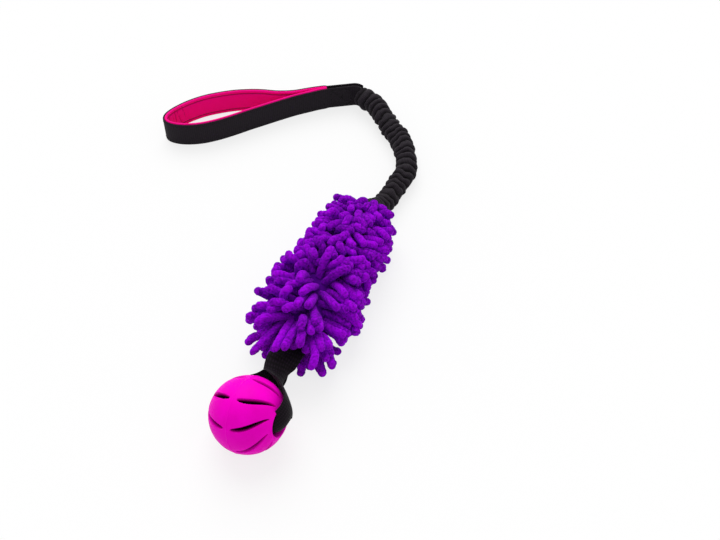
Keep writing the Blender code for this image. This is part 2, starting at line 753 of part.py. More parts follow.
def edge_ribbon(name, line, level, width, thickness, crown, material):
    """A strip stood on edge along a line, its outer face to the right of the way it runs."""
    bm = bmesh.new()
    up = Vector((0, 0, 1))
    rings = []
    for point, travel in zip(line, directions_along(line)):
        outward = travel.cross(up)
        centre = point + up * level
        ring = ribbon_ring(centre, up, outward, width, thickness, 0, 2)
        # The middle of the inner face swells: it is the fifth point of the ring.
        ring[4] = ring[4] - outward * crown
        rings.append(ring)
    add_skin(bm, rings, closed=False)
    return make_object(name, bm, material, stem_end)


band_level = WEBBING_WIDTH / 2 + (LINING_WIDTH - WEBBING_WIDTH) / 2 - stem_axis_height
far_layer = stem_line(-layer_offset, STEM_LENGTH)
near_layer = stem_line(layer_offset, STEM_LENGTH)
open_loop = spline([far_layer[-1], *loop_line(), near_layer[-1]], 2)
band_points = far_layer[:-1] + open_loop + near_layer[:-1][::-1]
edge_ribbon("handle_band", band_points, band_level, WEBBING_WIDTH, WEBBING_THICKNESS, 0, BLACK_WEBBING)

lining_inset = WEBBING_THICKNESS / 2 + TOUCH_GAP + LINING_THICKNESS / 2
lining_route = spline(loop_line()[1:-1], 2)
lining_points = [
    point - travel.cross(Vector((0, 0, 1))) * lining_inset
    for point, travel in zip(lining_route, directions_along(lining_route))
]
lining_level = LINING_WIDTH / 2 - stem_axis_height
lining_size = (LINING_WIDTH, LINING_THICKNESS, LINING_CROWN)
edge_ribbon("handle_lining", lining_points, lining_level, *lining_size, PINK_LINING)

tab_line = stem_line(0, TAB_LENGTH - STEM_BEND_RADIUS)
edge_ribbon("bungee_upper_tab", tab_line, 0, TAB_WIDTH, TAB_THICKNESS, 0, BLACK_WEBBING)


def box_stitch(name, side):
    """A boxed cross of thread on one face of the stem."""
    half_length, half_width = BOX_STITCH_LENGTH / 2, BOX_STITCH_WIDTH / 2
    middle_x = stem_straight_x + STEM_LENGTH / 2
    face_y = stem_line_y + side * (layer_offset + WEBBING_THICKNESS / 2 + TOUCH_GAP)
    corners = [(-1, -1), (1, -1), (1, 1), (-1, 1)]
    outline = [(middle_x + a * half_length, b * half_width) for a, b in corners]
    inner_length, inner_width = half_length - THREAD_WIDTH, half_width - THREAD_WIDTH
    holes = []
    for (a, b), (c, d) in zip(corners, corners[1:] + corners[:1]):
        # Between two neighbouring corners and the middle, drawn in by the crossing threads.
        apex = Vector(((a + c) * THREAD_WIDTH / 2, (b + d) * THREAD_WIDTH / 2))
        slide = Vector((c - a, d - b)) * THREAD_WIDTH / 2
        first = Vector((a * inner_length, b * inner_width)) + slide
        second = Vector((c * inner_length, d * inner_width)) - slide
        holes.append([(middle_x + x, z) for x, z in (apex, first, second)])
    bm = bmesh.new()
    placed = [[Vector((x, face_y, z)) for x, z in loop] for loop in (outline, *holes)]
    add_pierced_plate(bm, placed[0], placed[1:], Vector((0, side * THREAD_HEIGHT, 0)))
    return make_object(name, bm, BLACK_THREAD, stem_end)


box_stitch("box_stitching_near", 1)
box_stitch("box_stitching_far", -1)
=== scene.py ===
import math

import bmesh
import bpy
import numpy as np
from mathutils import Matrix, Vector, noise


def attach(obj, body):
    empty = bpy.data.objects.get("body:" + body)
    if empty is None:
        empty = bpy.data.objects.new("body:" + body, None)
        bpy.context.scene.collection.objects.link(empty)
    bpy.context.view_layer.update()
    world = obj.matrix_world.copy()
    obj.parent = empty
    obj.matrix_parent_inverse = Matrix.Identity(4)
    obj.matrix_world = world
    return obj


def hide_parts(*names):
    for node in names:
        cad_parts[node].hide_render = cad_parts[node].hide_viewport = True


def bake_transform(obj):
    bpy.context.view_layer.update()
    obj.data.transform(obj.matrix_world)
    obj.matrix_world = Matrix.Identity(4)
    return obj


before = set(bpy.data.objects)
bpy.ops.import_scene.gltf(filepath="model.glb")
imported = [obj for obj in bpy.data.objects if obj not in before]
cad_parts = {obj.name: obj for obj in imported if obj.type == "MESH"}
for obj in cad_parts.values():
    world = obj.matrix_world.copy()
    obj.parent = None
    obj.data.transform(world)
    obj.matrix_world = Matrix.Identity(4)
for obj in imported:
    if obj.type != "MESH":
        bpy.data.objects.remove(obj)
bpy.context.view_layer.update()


# Camera, floor and light
# The camera stands a little over half a metre above the floor and looks down on the toy at 50
# degrees, as the photograph's does. A soft sun and a bright room light it evenly.
CAMERA_PLACE = (0.3369, -0.5166, 0.680)
CAMERA_DOWN = math.radians(50)
CAMERA_TURN = math.radians(23.7)
LENS_MM = 50

camera = bpy.data.objects.new("camera", bpy.data.cameras.new("camera"))
camera.data.lens = LENS_MM
camera.data.sensor_width = 36
camera.data.clip_start = 0.01
camera.location = CAMERA_PLACE
camera.rotation_euler = (math.pi / 2 - CAMERA_DOWN, 0, CAMERA_TURN)
bpy.context.scene.collection.objects.link(camera)
bpy.context.scene.camera = camera
bpy.context.scene.view_settings.view_transform = "Standard"

sun = bpy.data.objects.new("window_light", bpy.data.lights.new("window_light", "SUN"))
sun.data.energy = 1.9
sun.data.angle = math.radians(50)
sun.rotation_euler = (math.radians(-30), math.radians(-20), 0)
bpy.context.scene.collection.objects.link(sun)


def linear(hex_colour):
    """The linear colour of an sRGB hex value."""
    parts = [int(hex_colour[i : i + 2], 16) / 255 for i in (0, 2, 4)]
    return (*(c / 12.92 if c <= 0.04045 else ((c + 0.055) / 1.055) ** 2.4 for c in parts), 1)


def add_node(tree, kind, settings=None, inputs=None, links=None):
    """A shader node with its settings, its input values, and links from other nodes' outputs."""
    added = tree.nodes.new(kind)
    for name, value in (settings or {}).items():
        setattr(added, name, value)
    for name, value in (inputs or {}).items():
        added.inputs[name].default_value = value
    for name, output in (links or {}).items():
        tree.links.new(output, added.inputs[name])
    return added


world = bpy.data.worlds.new("bright_room")
bpy.context.scene.world = world
world.use_nodes = True
room = world.node_tree
seen = add_node(room, "ShaderNodeLightPath")
seen_or_mirrored = add_node(
    room,
    "ShaderNodeMath",
    {"operation": "MAXIMUM"},
    links={0: seen.outputs["Is Camera Ray"], 1: seen.outputs["Is Glossy Ray"]},
)
room_strength = add_node(
    room,
    "ShaderNodeMapRange",
    inputs={"To Min": 0.62, "To Max": 1.0},
    links={"Value": seen_or_mirrored.outputs[0]},
)
room.nodes["Background"].inputs["Color"].default_value = (1, 1, 1, 1)
room.links.new(room_strength.outputs[0], room.nodes["Background"].inputs["Strength"])

floor_mesh = bpy.data.meshes.new("floor")
FLOOR_HALF = 4.0
corners = [(-1, -1), (1, -1), (1, 1), (-1, 1)]
floor_mesh.from_pydata([(x * FLOOR_HALF, y * FLOOR_HALF, 0) for x, y in corners], [], [(0, 1, 2, 3)])
floor = bpy.data.objects.new("floor", floor_mesh)
bpy.context.scene.collection.objects.link(floor)

paper = bpy.data.materials.new("white_paper_sweep")
paper.use_nodes = True
sheet = paper.node_tree
sheet.nodes["Principled BSDF"].inputs["Base Color"].default_value = linear("F2F2F2")
sheet.nodes["Principled BSDF"].inputs["Roughness"].default_value = 0.9
seen = add_node(sheet, "ShaderNodeLightPath")
seen_or_mirrored = add_node(
    sheet,
    "ShaderNodeMath",
    {"operation": "MAXIMUM"},
    links={0: seen.outputs["Is Camera Ray"], 1: seen.outputs["Is Glossy Ray"]},
)
whitening = add_node(
    sheet, "ShaderNodeMath", {"operation": "MULTIPLY"}, {1: 0.78}, {0: seen_or_mirrored.outputs[0]}
)
glow = add_node(sheet, "ShaderNodeEmission", inputs={"Color": (1, 1, 1, 1), "Strength": 1.0})
paper_look = add_node(
    sheet,
    "ShaderNodeMixShader",
    links={
        0: whitening.outputs[0],
        1: sheet.nodes["Principled BSDF"].outputs[0],
        2: glow.outputs[0],
    },
)
sheet.links.new(paper_look.outputs[0], sheet.nodes["Material Output"].inputs["Surface"])
floor_mesh.materials.append(paper)


# Ball
# Hollow natural rubber, compression moulded in two halves that meet halfway between its holes.
# The mould gives it eight swirled slots on each half, a thin parting line and a rolled rim.
BALL_RADIUS = 0.030
BALL_INSIDE_RADIUS = 0.0205
BORE_RADIUS = 0.0105
RIM_WIDTH = 0.0016
RIM_RISE = 0.0004
SLOT_WIDTH = 0.0037
SLOT_DEPTH = 0.0084
SLOT_WALL = 0.0005
SLOTS_PER_HALF = 8
SLOT_START = math.radians(84)
SLOT_END = math.radians(29)
SLOT_SWIRL = math.radians(31)
LEFT_SLOT_SWIRL = math.radians(13)
FIRST_SLOT = math.radians(13)
PARTING_LINE_WIDTH = 0.0007
PARTING_LINE_RISE = 0.00025
BALL_PLACE = Vector((0.0976, -0.1821, 0.030))
BALL_TILT = math.radians(12)
ball_frame = Matrix.Translation(BALL_PLACE) @ Matrix.Rotation(-BALL_TILT, 4, "Y")


def grid_mesh(name, points, closed_along, closed_round, flip=False):
    """A mesh of quads over a grid of points, with UVs that run along and round it from 0 to 1."""
    rows, columns = points.shape[:2]
    row_steps = rows if closed_along else rows - 1
    column_steps = columns if closed_round else columns - 1
    i, j = np.meshgrid(np.arange(row_steps), np.arange(column_steps), indexing="ij")
    i, j = i.ravel(), j.ravel()
    next_i, next_j = (i + 1) % rows, (j + 1) % columns
    quads = np.stack([i * columns + j, i * columns + next_j, next_i * columns + next_j, next_i * columns + j], 1)
    along = np.stack([i, i, i + 1, i + 1], 1) / row_steps
    around = np.stack([j, j + 1, j + 1, j], 1) / column_steps
    if flip:
        quads, along, around = quads[:, ::-1], along[:, ::-1], around[:, ::-1]
    mesh = bpy.data.meshes.new(name)
    mesh.from_pydata(points.reshape(-1, 3).tolist(), [], quads.tolist())
    spread = mesh.uv_layers.new(name="spread")
    spread.data.foreach_set("uv", np.stack([along, around], 2).astype(np.float32).ravel())
    mesh.shade_smooth()
    return mesh


def show(name, mesh, material):
    """Put a mesh in the scene as a piece with its finish."""
    piece = bpy.data.objects.new(name, mesh)
    bpy.context.scene.collection.objects.link(piece)
    mesh.materials.append(material)
    return piece


def ease(low, high, value):
    """0 up to low, 1 from high, and a smooth slope between."""
    t = np.clip((value - low) / (high - low), 0, 1)
    return t * t * (3 - 2 * t)


def slot_share(polar, around):
    """How far into a slot a place on the ball is: 0 on the land, 1 on the slot's floor."""
    from_pole = np.minimum(polar, math.pi - polar)
    share = (SLOT_START - from_pole) / (SLOT_START - SLOT_END)
    inside = np.clip(share, 0, 1)
    pitch = 2 * math.pi / SLOTS_PER_HALF
    swirl = np.where(polar < math.pi / 2, SLOT_SWIRL, LEFT_SLOT_SWIRL)
    offset = (around - FIRST_SLOT + swirl * inside**2 + pitch / 2) % pitch - pitch / 2
    # The slot's slope across the circles of latitude narrows the distance to its middle line.
    slope = 2 * swirl * inside / (SLOT_START - SLOT_END) * np.sin(from_pole)
    sideways = np.abs(offset) * BALL_RADIUS * np.sin(from_pole) / np.sqrt(1 + slope**2)
    # Each slot is blunt near the parting line and tapers off towards the hole.
    half_width = SLOT_WIDTH / 2 * np.sin(math.pi * inside**0.72) ** 0.62
    beyond = np.maximum(np.abs(share - 0.5) - 0.5, 0) * BALL_RADIUS
    within = half_width - sideways - beyond * 3
    return ease(-SLOT_WALL / 3, SLOT_WALL, within) * np.where(half_width > SLOT_WALL / 4, 1, 0)


OUTSIDE_ROWS, ROUND_COLUMNS = 240, 480
rim_angle = math.asin((BORE_RADIUS + RIM_WIDTH / 2) / BALL_RADIUS)
polars = np.linspace(rim_angle, math.pi - rim_angle, OUTSIDE_ROWS)
turns = np.linspace(0, 2 * math.pi, ROUND_COLUMNS, endpoint=False)
polar_grid, turn_grid = np.meshgrid(polars, turns, indexing="ij")
depth = slot_share(polar_grid, turn_grid)
from_rim = np.minimum(polar_grid, math.pi - polar_grid) - rim_angle
rim_lip = RIM_RISE * np.exp(-((from_rim * BALL_RADIUS / RIM_WIDTH) ** 2))
parting = np.abs(polar_grid - math.pi / 2) * BALL_RADIUS
parting_lip = PARTING_LINE_RISE * (1 - ease(0, PARTING_LINE_WIDTH, parting))
radius_grid = BALL_RADIUS - SLOT_DEPTH * depth + (rim_lip + parting_lip) * (1 - depth)
outside = np.stack(
    [
        radius_grid * np.cos(polar_grid),
        radius_grid * np.sin(polar_grid) * np.cos(turn_grid),
        radius_grid * np.sin(polar_grid) * np.sin(turn_grid),
    ],
    2,
)


def turned_rows(profile):
    """Rows of points for a profile of distances along and from the bore, turned round the bore."""
    rows = [
        np.stack([np.full_like(turns, along), out * np.cos(turns), out * np.sin(turns)], 1)
        for along, out in profile
    ]
    return np.array(rows)


rim_reach = BALL_RADIUS * math.cos(rim_angle)
rounding = [math.radians(a) for a in (35, 65, 90)]
lip_bend = [
    (rim_reach - RIM_WIDTH / 2 * (1 - math.cos(a)), BORE_RADIUS + RIM_WIDTH / 2 * (1 - math.sin(a)))
    for a in rounding
]
inside_angle = math.asin(BORE_RADIUS / BALL_INSIDE_RADIUS)
inside_bend = [
    (BALL_INSIDE_RADIUS * math.cos(a), BALL_INSIDE_RADIUS * math.sin(a))
    for a in np.linspace(math.pi - inside_angle, inside_angle, 24)
]
left_lip = turned_rows([(-along, out) for along, out in lip_bend])
hollow = turned_rows(inside_bend)
right_lip = turned_rows(lip_bend[::-1])
ball_rows = np.concatenate([outside, left_lip, hollow, right_lip])
ball_mesh = grid_mesh("rubber_ball", ball_rows, True, True)
ball_mesh.transform(ball_frame)
slot_depths = np.zeros(ball_rows.shape[:2], np.float32)
slot_depths[:OUTSIDE_ROWS] = depth
ball_mesh.attributes.new("slot", "FLOAT", "POINT").data.foreach_set("value", slot_depths.ravel())

# Natural rubber straight from a polished mould: a saturated colour, a soft highlight, and a skin
# with a fine unevenness of about a third of a millimetre.
RUBBER_SKIN_MM = 0.35
rubber = bpy.data.materials.new("moulded_natural_rubber")
rubber.use_nodes = True
tree = rubber.node_tree
skin = tree.nodes["Principled BSDF"]
skin.inputs["Roughness"].default_value = 0.42
skin.inputs["IOR"].default_value = 1.52
skin.inputs["Specular IOR Level"].default_value = 0.02
place = add_node(tree, "ShaderNodeTexCoord")
cloud = add_node(
    tree,
    "ShaderNodeTexNoise",
    inputs={"Scale": 1000 / 14, "Detail": 3},
    links={"Vector": place.outputs["Object"]},
)
tint = add_node(tree, "ShaderNodeValToRGB", links={"Fac": cloud.outputs["Fac"]})
tint.color_ramp.elements[0].position, tint.color_ramp.elements[1].position = 0.35, 0.65
tint.color_ramp.elements[0].color = linear("EE00BE")
tint.color_ramp.elements[1].color = linear("F800CA")
# The slots' floors and walls are painted nearly black, darker the deeper they go: painted shade for slots this deep
# in the wall.
slot_depth = add_node(tree, "ShaderNodeAttribute", {"attribute_name": "slot"})
in_slot = add_node(
    tree,
    "ShaderNodeMapRange",
    inputs={"From Min": 0.0, "From Max": 0.55},
    links={"Value": slot_depth.outputs["Fac"]},
)
slot_painted_shade = add_node(
    tree,
    "ShaderNodeMix",
    {"data_type": "RGBA"},
    {"B": linear("2E0024")},
    {"Factor": in_slot.outputs[0], "A": tint.outputs["Color"]},
)
tree.links.new(slot_painted_shade.outputs["Result"], skin.inputs["Base Color"])
grit = add_node(
    tree,
    "ShaderNodeTexNoise",
    inputs={"Scale": 1000 / RUBBER_SKIN_MM, "Detail": 2},
    links={"Vector": place.outputs["Object"]},
)
dimple = add_node(
    tree,
    "ShaderNodeBump",
    inputs={"Strength": 0.25, "Distance": 0.0001},
    links={"Height": grit.outputs["Fac"]},
)
tree.links.new(dimple.outputs["Normal"], skin.inputs["Normal"])
rubber_ball = show("rubber_ball", ball_mesh, rubber)
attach(rubber_ball, "ball")
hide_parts("ball")


# Ball strap
# One length of 25 mm nylon webbing. It leaves the mop flat, splits round the ball, folds into the
# holes from both sides and cups itself to the bore's wall. Both its ends are sewn into the mop.
STRAP_WIDTH = 0.025
STRAP_THICKNESS = 0.0014
STRAP_TAIL = 0.030
STRAP_LAYER = 0.0019
STRAP_SEAT = 0.0090
MOUTH = Vector((0.0944, -0.0962, 0.025))
# Across, towards the mop and up, as shares of the ball's radius, then the turn from flat and
# how far the webbing is cupped round the ball, as a share of the cupping it has in the bore.
RIGHT_LEG_SHARES = [
    (0.010, 2.42, -0.100, 12, 0.00),
    (0.077, 2.07, -0.034, 12, 0.08),
    (0.110, 1.72, 0.093, 38, 0.10),
    (0.142, 1.40, 0.004, 63, 0.56),
    (0.270, 1.15, 0.030, 84, 0.24),
    (0.500, 0.935, 0.050, 98, 0.10),
    (0.800, 0.71, 0.100, 97, 0.20),
    (1.045, 0.46, 0.150, 92, 0.28),
]
LEFT_LEG_SHARES = [
    (-0.010, 2.42, -0.160, 12, 0.00),
    (-0.067, 2.07, -0.130, 31, 0.09),
    (-0.146, 1.72, -0.202, 58, 0.36),
    (-0.163, 1.44, -0.300, 62, 0.40),
    (-0.320, 1.18, -0.253, 70, 0.55),
    (-0.587, 0.94, -0.214, 75, 0.45),
    (-0.835, 0.70, -0.195, 84, 0.38),
    (-1.030, 0.46, -0.195, 95, 0.46),
]
# From the rim into the bore: along the bore, from its middle line, up, and the share of cupping.
RIGHT_ENTRY = [
    (0.0333, 0.0094, 0.0046, 0.42),
    (0.0337, 0.0048, 0.0038, 0.66),
    (0.0327, 0.0002, 0.0026, 0.90),
    (0.0300, -0.0038, 0.0014, 1.0),
    (0.0262, -0.0066, 0.0004, 1.0),
    (0.0210, -0.0080, 0.0, 1.0),
    (0.0105, -0.0086, 0.0, 1.0),
    (0.0, -0.0086, 0.0, 1.0),
]
LEFT_ENTRY = [
    (-0.0105, -0.0086, 0.0, 1.0),
    (-0.0210, -0.0086, 0.0, 1.0),
    (-0.0262, -0.0080, 0.0, 1.0),
    (-0.0298, -0.0056, -0.0006, 1.0),
    (-0.0318, -0.0020, -0.0024, 0.90),
    (-0.0326, 0.0028, -0.0044, 0.72),
    (-0.0324, 0.0086, -0.0058, 0.56),
]


def smooth_line(values, steps):
    """A smooth curve through rows of numbers, with the same number of steps between each pair."""
    values = np.array(values, float)
    ends = np.vstack([2 * values[0] - values[1], values, 2 * values[-1] - values[-2]])
    rows = []
    for a, b, c, d in zip(ends, ends[1:], ends[2:], ends[3:]):
        for t in np.arange(steps) / steps:
            bend = (2 * a - 5 * b + 4 * c - d) * t**2 + (3 * b - a - 3 * c + d) * t**3
            rows.append((2 * b + (c - a) * t + bend) / 2)
    return np.array([*rows, values[-1]])


def travel_along(line):
    """The unit direction of travel at each point of a line."""
    travel = np.gradient(line, axis=0)
    return travel / np.linalg.norm(travel, axis=1)[:, None]


def webbing_outline(width, thickness, steps, edge_steps=4):
    """A flat strip's section with rounded edges: places across it and out of its face."""
    edge = thickness / 2
    top = [(x, edge) for x in np.linspace(-width / 2 + edge, width / 2 - edge, steps)]
    right = [
        (width / 2 - edge + edge * math.sin(a), edge * math.cos(a))
        for a in np.linspace(0, math.pi, edge_steps + 2)[1:-1]
    ]
    bottom = [(x, -edge) for x, _ in top[::-1]]
    left = [(-x, -y) for x, y in right]
    return np.array(top + right + bottom + left)


def lay_webbing(name, line, across, outline, curl=None, close_ends=True):
    """Sweep a strip's section along a line. Its edges curl out of its face where curl isn't 0."""
    travel = travel_along(line)
    across = across - travel * np.sum(across * travel, 1)[:, None]
    across /= np.linalg.norm(across, axis=1)[:, None]
    face = np.cross(across, travel)
    curl = np.zeros(len(line)) if curl is None else curl
    bend = np.where(np.abs(curl) < 1e-3, 1e-3, curl)[:, None]
    reach, rise = outline[..., 0], outline[..., 1]
    flat = np.sin(reach * bend) / bend - rise * np.sin(reach * bend)
    lift = (1 - np.cos(reach * bend)) / bend + rise * np.cos(reach * bend)
    points = line[:, None] + across[:, None] * flat[..., None] + face[:, None] * lift[..., None]
    mesh = grid_mesh(name, points, False, True, flip=True)
    if close_ends:
        bm = bmesh.new()
        bm.from_mesh(mesh)
        bm.verts.ensure_lookup_table()
        count = outline.shape[-2]
        last = len(bm.verts) - count
        bm.faces.new([bm.verts[k] for k in range(count)])
        bm.faces.new([bm.verts[last + k] for k in reversed(range(count))])
        bmesh.ops.recalc_face_normals(bm, faces=bm.faces)
        bm.to_mesh(mesh)
        bm.free()
    # The weave needs real lengths, so the UVs are turned to metres along and across the strip.
    length = np.linalg.norm(np.diff(line, axis=0), axis=1).sum()
    ring = outline if outline.ndim == 2 else outline[0]
    girth = np.linalg.norm(np.diff(np.vstack([ring, ring[:1]]), axis=0), axis=1).sum()
    spread = mesh.uv_layers["spread"].data
    uv = np.empty(len(spread) * 2, np.float32)
    spread.foreach_get("uv", uv)
    uv = uv.reshape(-1, 2) * (length, girth)
    spread.foreach_set("uv", uv.astype(np.float32).ravel())
    return mesh


stations = []
into_ball = ball_frame.inverted()
ball_tilt_degrees = math.degrees(BALL_TILT)
for along in (STRAP_TAIL, STRAP_TAIL / 2, 0, -STRAP_TAIL / 6):
    place = into_ball @ (MOUTH + Vector((0, along, STRAP_LAYER)))
    stations.append((*place, ball_tilt_degrees, 0))
for row, (x, y, z, turn, cupping) in enumerate(RIGHT_LEG_SHARES):
    lift = STRAP_LAYER / 2 if row < 2 else 0
    stations.append((x * BALL_RADIUS, y * BALL_RADIUS, z * BALL_RADIUS + lift, turn, -cupping / STRAP_SEAT))
for x, y, z, cupping in RIGHT_ENTRY + LEFT_ENTRY:
    stations.append((x, y, z, 90, -cupping / STRAP_SEAT))
for row, (x, y, z, turn, cupping) in reversed(list(enumerate(LEFT_LEG_SHARES))):
    lift = -STRAP_LAYER / 2 if row < 2 else 0
    stations.append((x * BALL_RADIUS, y * BALL_RADIUS, z * BALL_RADIUS + lift, 180 - turn, -cupping / STRAP_SEAT))
for along in (-STRAP_TAIL / 6, 0, STRAP_TAIL / 2, STRAP_TAIL):
    place = into_ball @ (MOUTH + Vector((0, along, -STRAP_LAYER)))
    stations.append((*place, 180 - ball_tilt_degrees, 0))
smoothed = smooth_line(stations, 7)
strap_line = smoothed[:, :3]
level = np.cross(travel_along(strap_line), (0, 0, 1))
level /= np.linalg.norm(level, axis=1)[:, None]
upright = np.cross(level, travel_along(strap_line))
strap_turn = np.radians(smoothed[:, 3])[:, None]
strap_across = level * np.cos(strap_turn) + upright * np.sin(strap_turn)
strap_outline = webbing_outline(STRAP_WIDTH, STRAP_THICKNESS, 17)
strap_mesh = lay_webbing("ball_strap_webbing", strap_line, strap_across, strap_outline, smoothed[:, 4])
strap_mesh.transform(ball_frame)

# Black nylon webbing in a plain rib weave. The weft ribs cross it about every 1.4 mm, and the warp
# threads lie about 0.9 mm apart, both drawn a little coarser than life so that they show.
RIB_MM, WARP_MM = 1.4, 0.9


def woven_black(name, rib_mm, warp_mm, dark, light, relief):
    """Black woven webbing: ribs and threads at their real spacing, their tops painted paler as a painted highlight.
    """
    material = bpy.data.materials.new(name)
    material.use_nodes = True
    tree = material.node_tree
    cloth = tree.nodes["Principled BSDF"]
    cloth.inputs["Roughness"].default_value = 0.72
    cloth.inputs["Specular IOR Level"].default_value = 0.10
    cloth.inputs["Sheen Weight"].default_value = 0.03
    cloth.inputs["Sheen Roughness"].default_value = 0.5
    lengths = add_node(tree, "ShaderNodeUVMap", {"uv_map": "spread"})
    ribs = add_node(
        tree,
        "ShaderNodeTexWave",
        {"bands_direction": "X", "wave_profile": "SIN"},
        {"Scale": 1000 / rib_mm / 20 * math.pi, "Distortion": 0.6, "Detail": 1, "Detail Scale": 2},
        {"Vector": lengths.outputs["UV"]},
    )
    threads = add_node(
        tree,
        "ShaderNodeTexWave",
        {"bands_direction": "Y", "wave_profile": "SIN"},
        {"Scale": 1000 / warp_mm / 20 * math.pi, "Distortion": 0.4, "Detail": 1, "Detail Scale": 2},
        {"Vector": lengths.outputs["UV"]},
    )
    weave = add_node(
        tree,
        "ShaderNodeMath",
        {"operation": "MULTIPLY"},
        links={0: ribs.outputs["Fac"], 1: threads.outputs["Fac"]},
    )
    # The colour is paler where the weave rises, the same height that makes the bump: a painted highlight on the
    # tops of the ribs and threads.
    tone = add_node(tree, "ShaderNodeValToRGB", links={"Fac": weave.outputs[0]})
    tone.color_ramp.elements[0].color = linear(dark)
    tone.color_ramp.elements[1].color = linear(light)
    tree.links.new(tone.outputs["Color"], cloth.inputs["Base Color"])
    relief_node = add_node(
        tree,
        "ShaderNodeBump",
        inputs={"Strength": 0.6, "Distance": relief},
        links={"Height": weave.outputs[0]},
    )
    tree.links.new(relief_node.outputs["Normal"], cloth.inputs["Normal"])
    return material


nylon_webbing = woven_black("woven_black_nylon_webbing", RIB_MM, WARP_MM, "080308", "211722", 0.0003)
strap = show("ball_strap_webbing", strap_mesh, nylon_webbing)
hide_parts("ball_strap")
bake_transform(strap)


# Core of the mop
# A flat strip of webbing runs through the mop. The strap's tails and the bungee's tab are sewn to
# its two ends with rows of bonded nylon thread. None of it shows, because the fleece covers it.
bonded_thread = bpy.data.materials.new("bonded_black_nylon_thread")
bonded_thread.use_nodes = True
tree = bonded_thread.node_tree
thread_skin = tree.nodes["Principled BSDF"]
thread_skin.inputs["Roughness"].default_value = 0.6
thread_skin.inputs["Specular IOR Level"].default_value = 0.12
place = add_node(tree, "ShaderNodeTexCoord")
TWIST_MM = 0.8
twist = add_node(
    tree,
    "ShaderNodeTexWave",
    {"bands_direction": "DIAGONAL"},
    {"Scale": 1000 / TWIST_MM / 20 * math.pi, "Distortion": 0.3},
    {"Vector": place.outputs["Object"]},
)
tone = add_node(tree, "ShaderNodeValToRGB", links={"Fac": twist.outputs["Fac"]})
tone.color_ramp.elements[0].color = linear("0B0A0C")
tone.color_ramp.elements[1].color = linear("242126")
tree.links.new(tone.outputs["Color"], thread_skin.inputs["Base Color"])
ply = add_node(
    tree, "ShaderNodeBump", inputs={"Strength": 0.5, "Distance": 0.0002}, links={"Height": twist.outputs["Fac"]}
)
tree.links.new(ply.outputs["Normal"], thread_skin.inputs["Normal"])

hidden_webbing = bpy.data.materials.new("hidden_black_nylon_webbing")
hidden_webbing.use_nodes = True
tree = hidden_webbing.node_tree
hidden_cloth = tree.nodes["Principled BSDF"]
hidden_cloth.inputs["Roughness"].default_value = 0.75
place = add_node(tree, "ShaderNodeTexCoord")
weft = add_node(
    tree,
    "ShaderNodeTexWave",
    {"bands_direction": "Y"},
    {"Scale": 1000 / RIB_MM / 20 * math.pi, "Distortion": 0.6},
    {"Vector": place.outputs["Object"]},
)
# The colour is paler on the weft's ribs, the same height that makes the bump: a painted highlight on their tops.
tone = add_node(tree, "ShaderNodeValToRGB", links={"Fac": weft.outputs["Fac"]})
tone.color_ramp.elements[0].color = linear("0F0D0F")
tone.color_ramp.elements[1].color = linear("2B272B")
tree.links.new(tone.outputs["Color"], hidden_cloth.inputs["Base Color"])
weft_relief = add_node(
    tree, "ShaderNodeBump", inputs={"Strength": 0.6, "Distance": 0.0003}, links={"Height": weft.outputs["Fac"]}
)
tree.links.new(weft_relief.outputs["Normal"], hidden_cloth.inputs["Normal"])


def finish_cad_node(node_name, material):
    """Give a piece carried over from the CAD its material."""
    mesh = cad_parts[node_name].data
    mesh.materials.clear()
    mesh.materials.append(material)


for node_name in ("core_webbing", "bungee_lower_tab", "bungee_upper_tab"):
    finish_cad_node(node_name, hidden_webbing)
for node_name in ("strap_tail_stitching", "bungee_tab_stitching"):
    finish_cad_node(node_name, bonded_thread)


# Mop
# A sheet of chenille fleece, knitted polyester microfibre with soft noodles all over, is rolled
# round the core webbing and sewn. The noodles crowd each other, flop, and lie flat under the mop.
MOP_MIDDLE = Vector((0.0944, -0.0227, 0.025))
MOP_HALF = 0.0735
ROLL_RADIUS = 0.0193
ROLL_INSIDE_RADIUS = 0.0142
NOODLE_RADIUS = 0.0034
NOODLE_LENGTH = 0.0300
NOODLES = 336
END_NOODLES = 32
JOINTS_IN_NOODLE = 7
ELBOW_ROOM = 0.0062
SETTLING_STEPS = 90
FLOOR_Z = -MOP_MIDDLE.z
# How high above its middle and how far to each side the mop reaches, from the strap's end to the
# bungee's, as the photograph's outline shows it.
PLACES_ALONG = (-1.4, -1.15, -0.8, -0.5, -0.25, 0, 0.5, 0.8, 1)
TOPS = (0.022, 0.0270, 0.0310, 0.0300, 0.0285, 0.0265, 0.0220, 0.0180, 0.0120)
SIDE_REACHES = (0.0290, 0.0370, 0.0480, 0.0385, 0.0345, 0.0310, 0.0345, 0.0370, 0.0340)
TURN_OF_SEEDS = math.pi * (3 - math.sqrt(5))
CLUMP_SIZE = 0.024


def roll_radius(along):
    """The roll's radius at a place along it: its fabric is pulled in towards the bungee's end."""
    return ROLL_RADIUS - 0.0068 * ease(0.030, MOP_HALF, along)



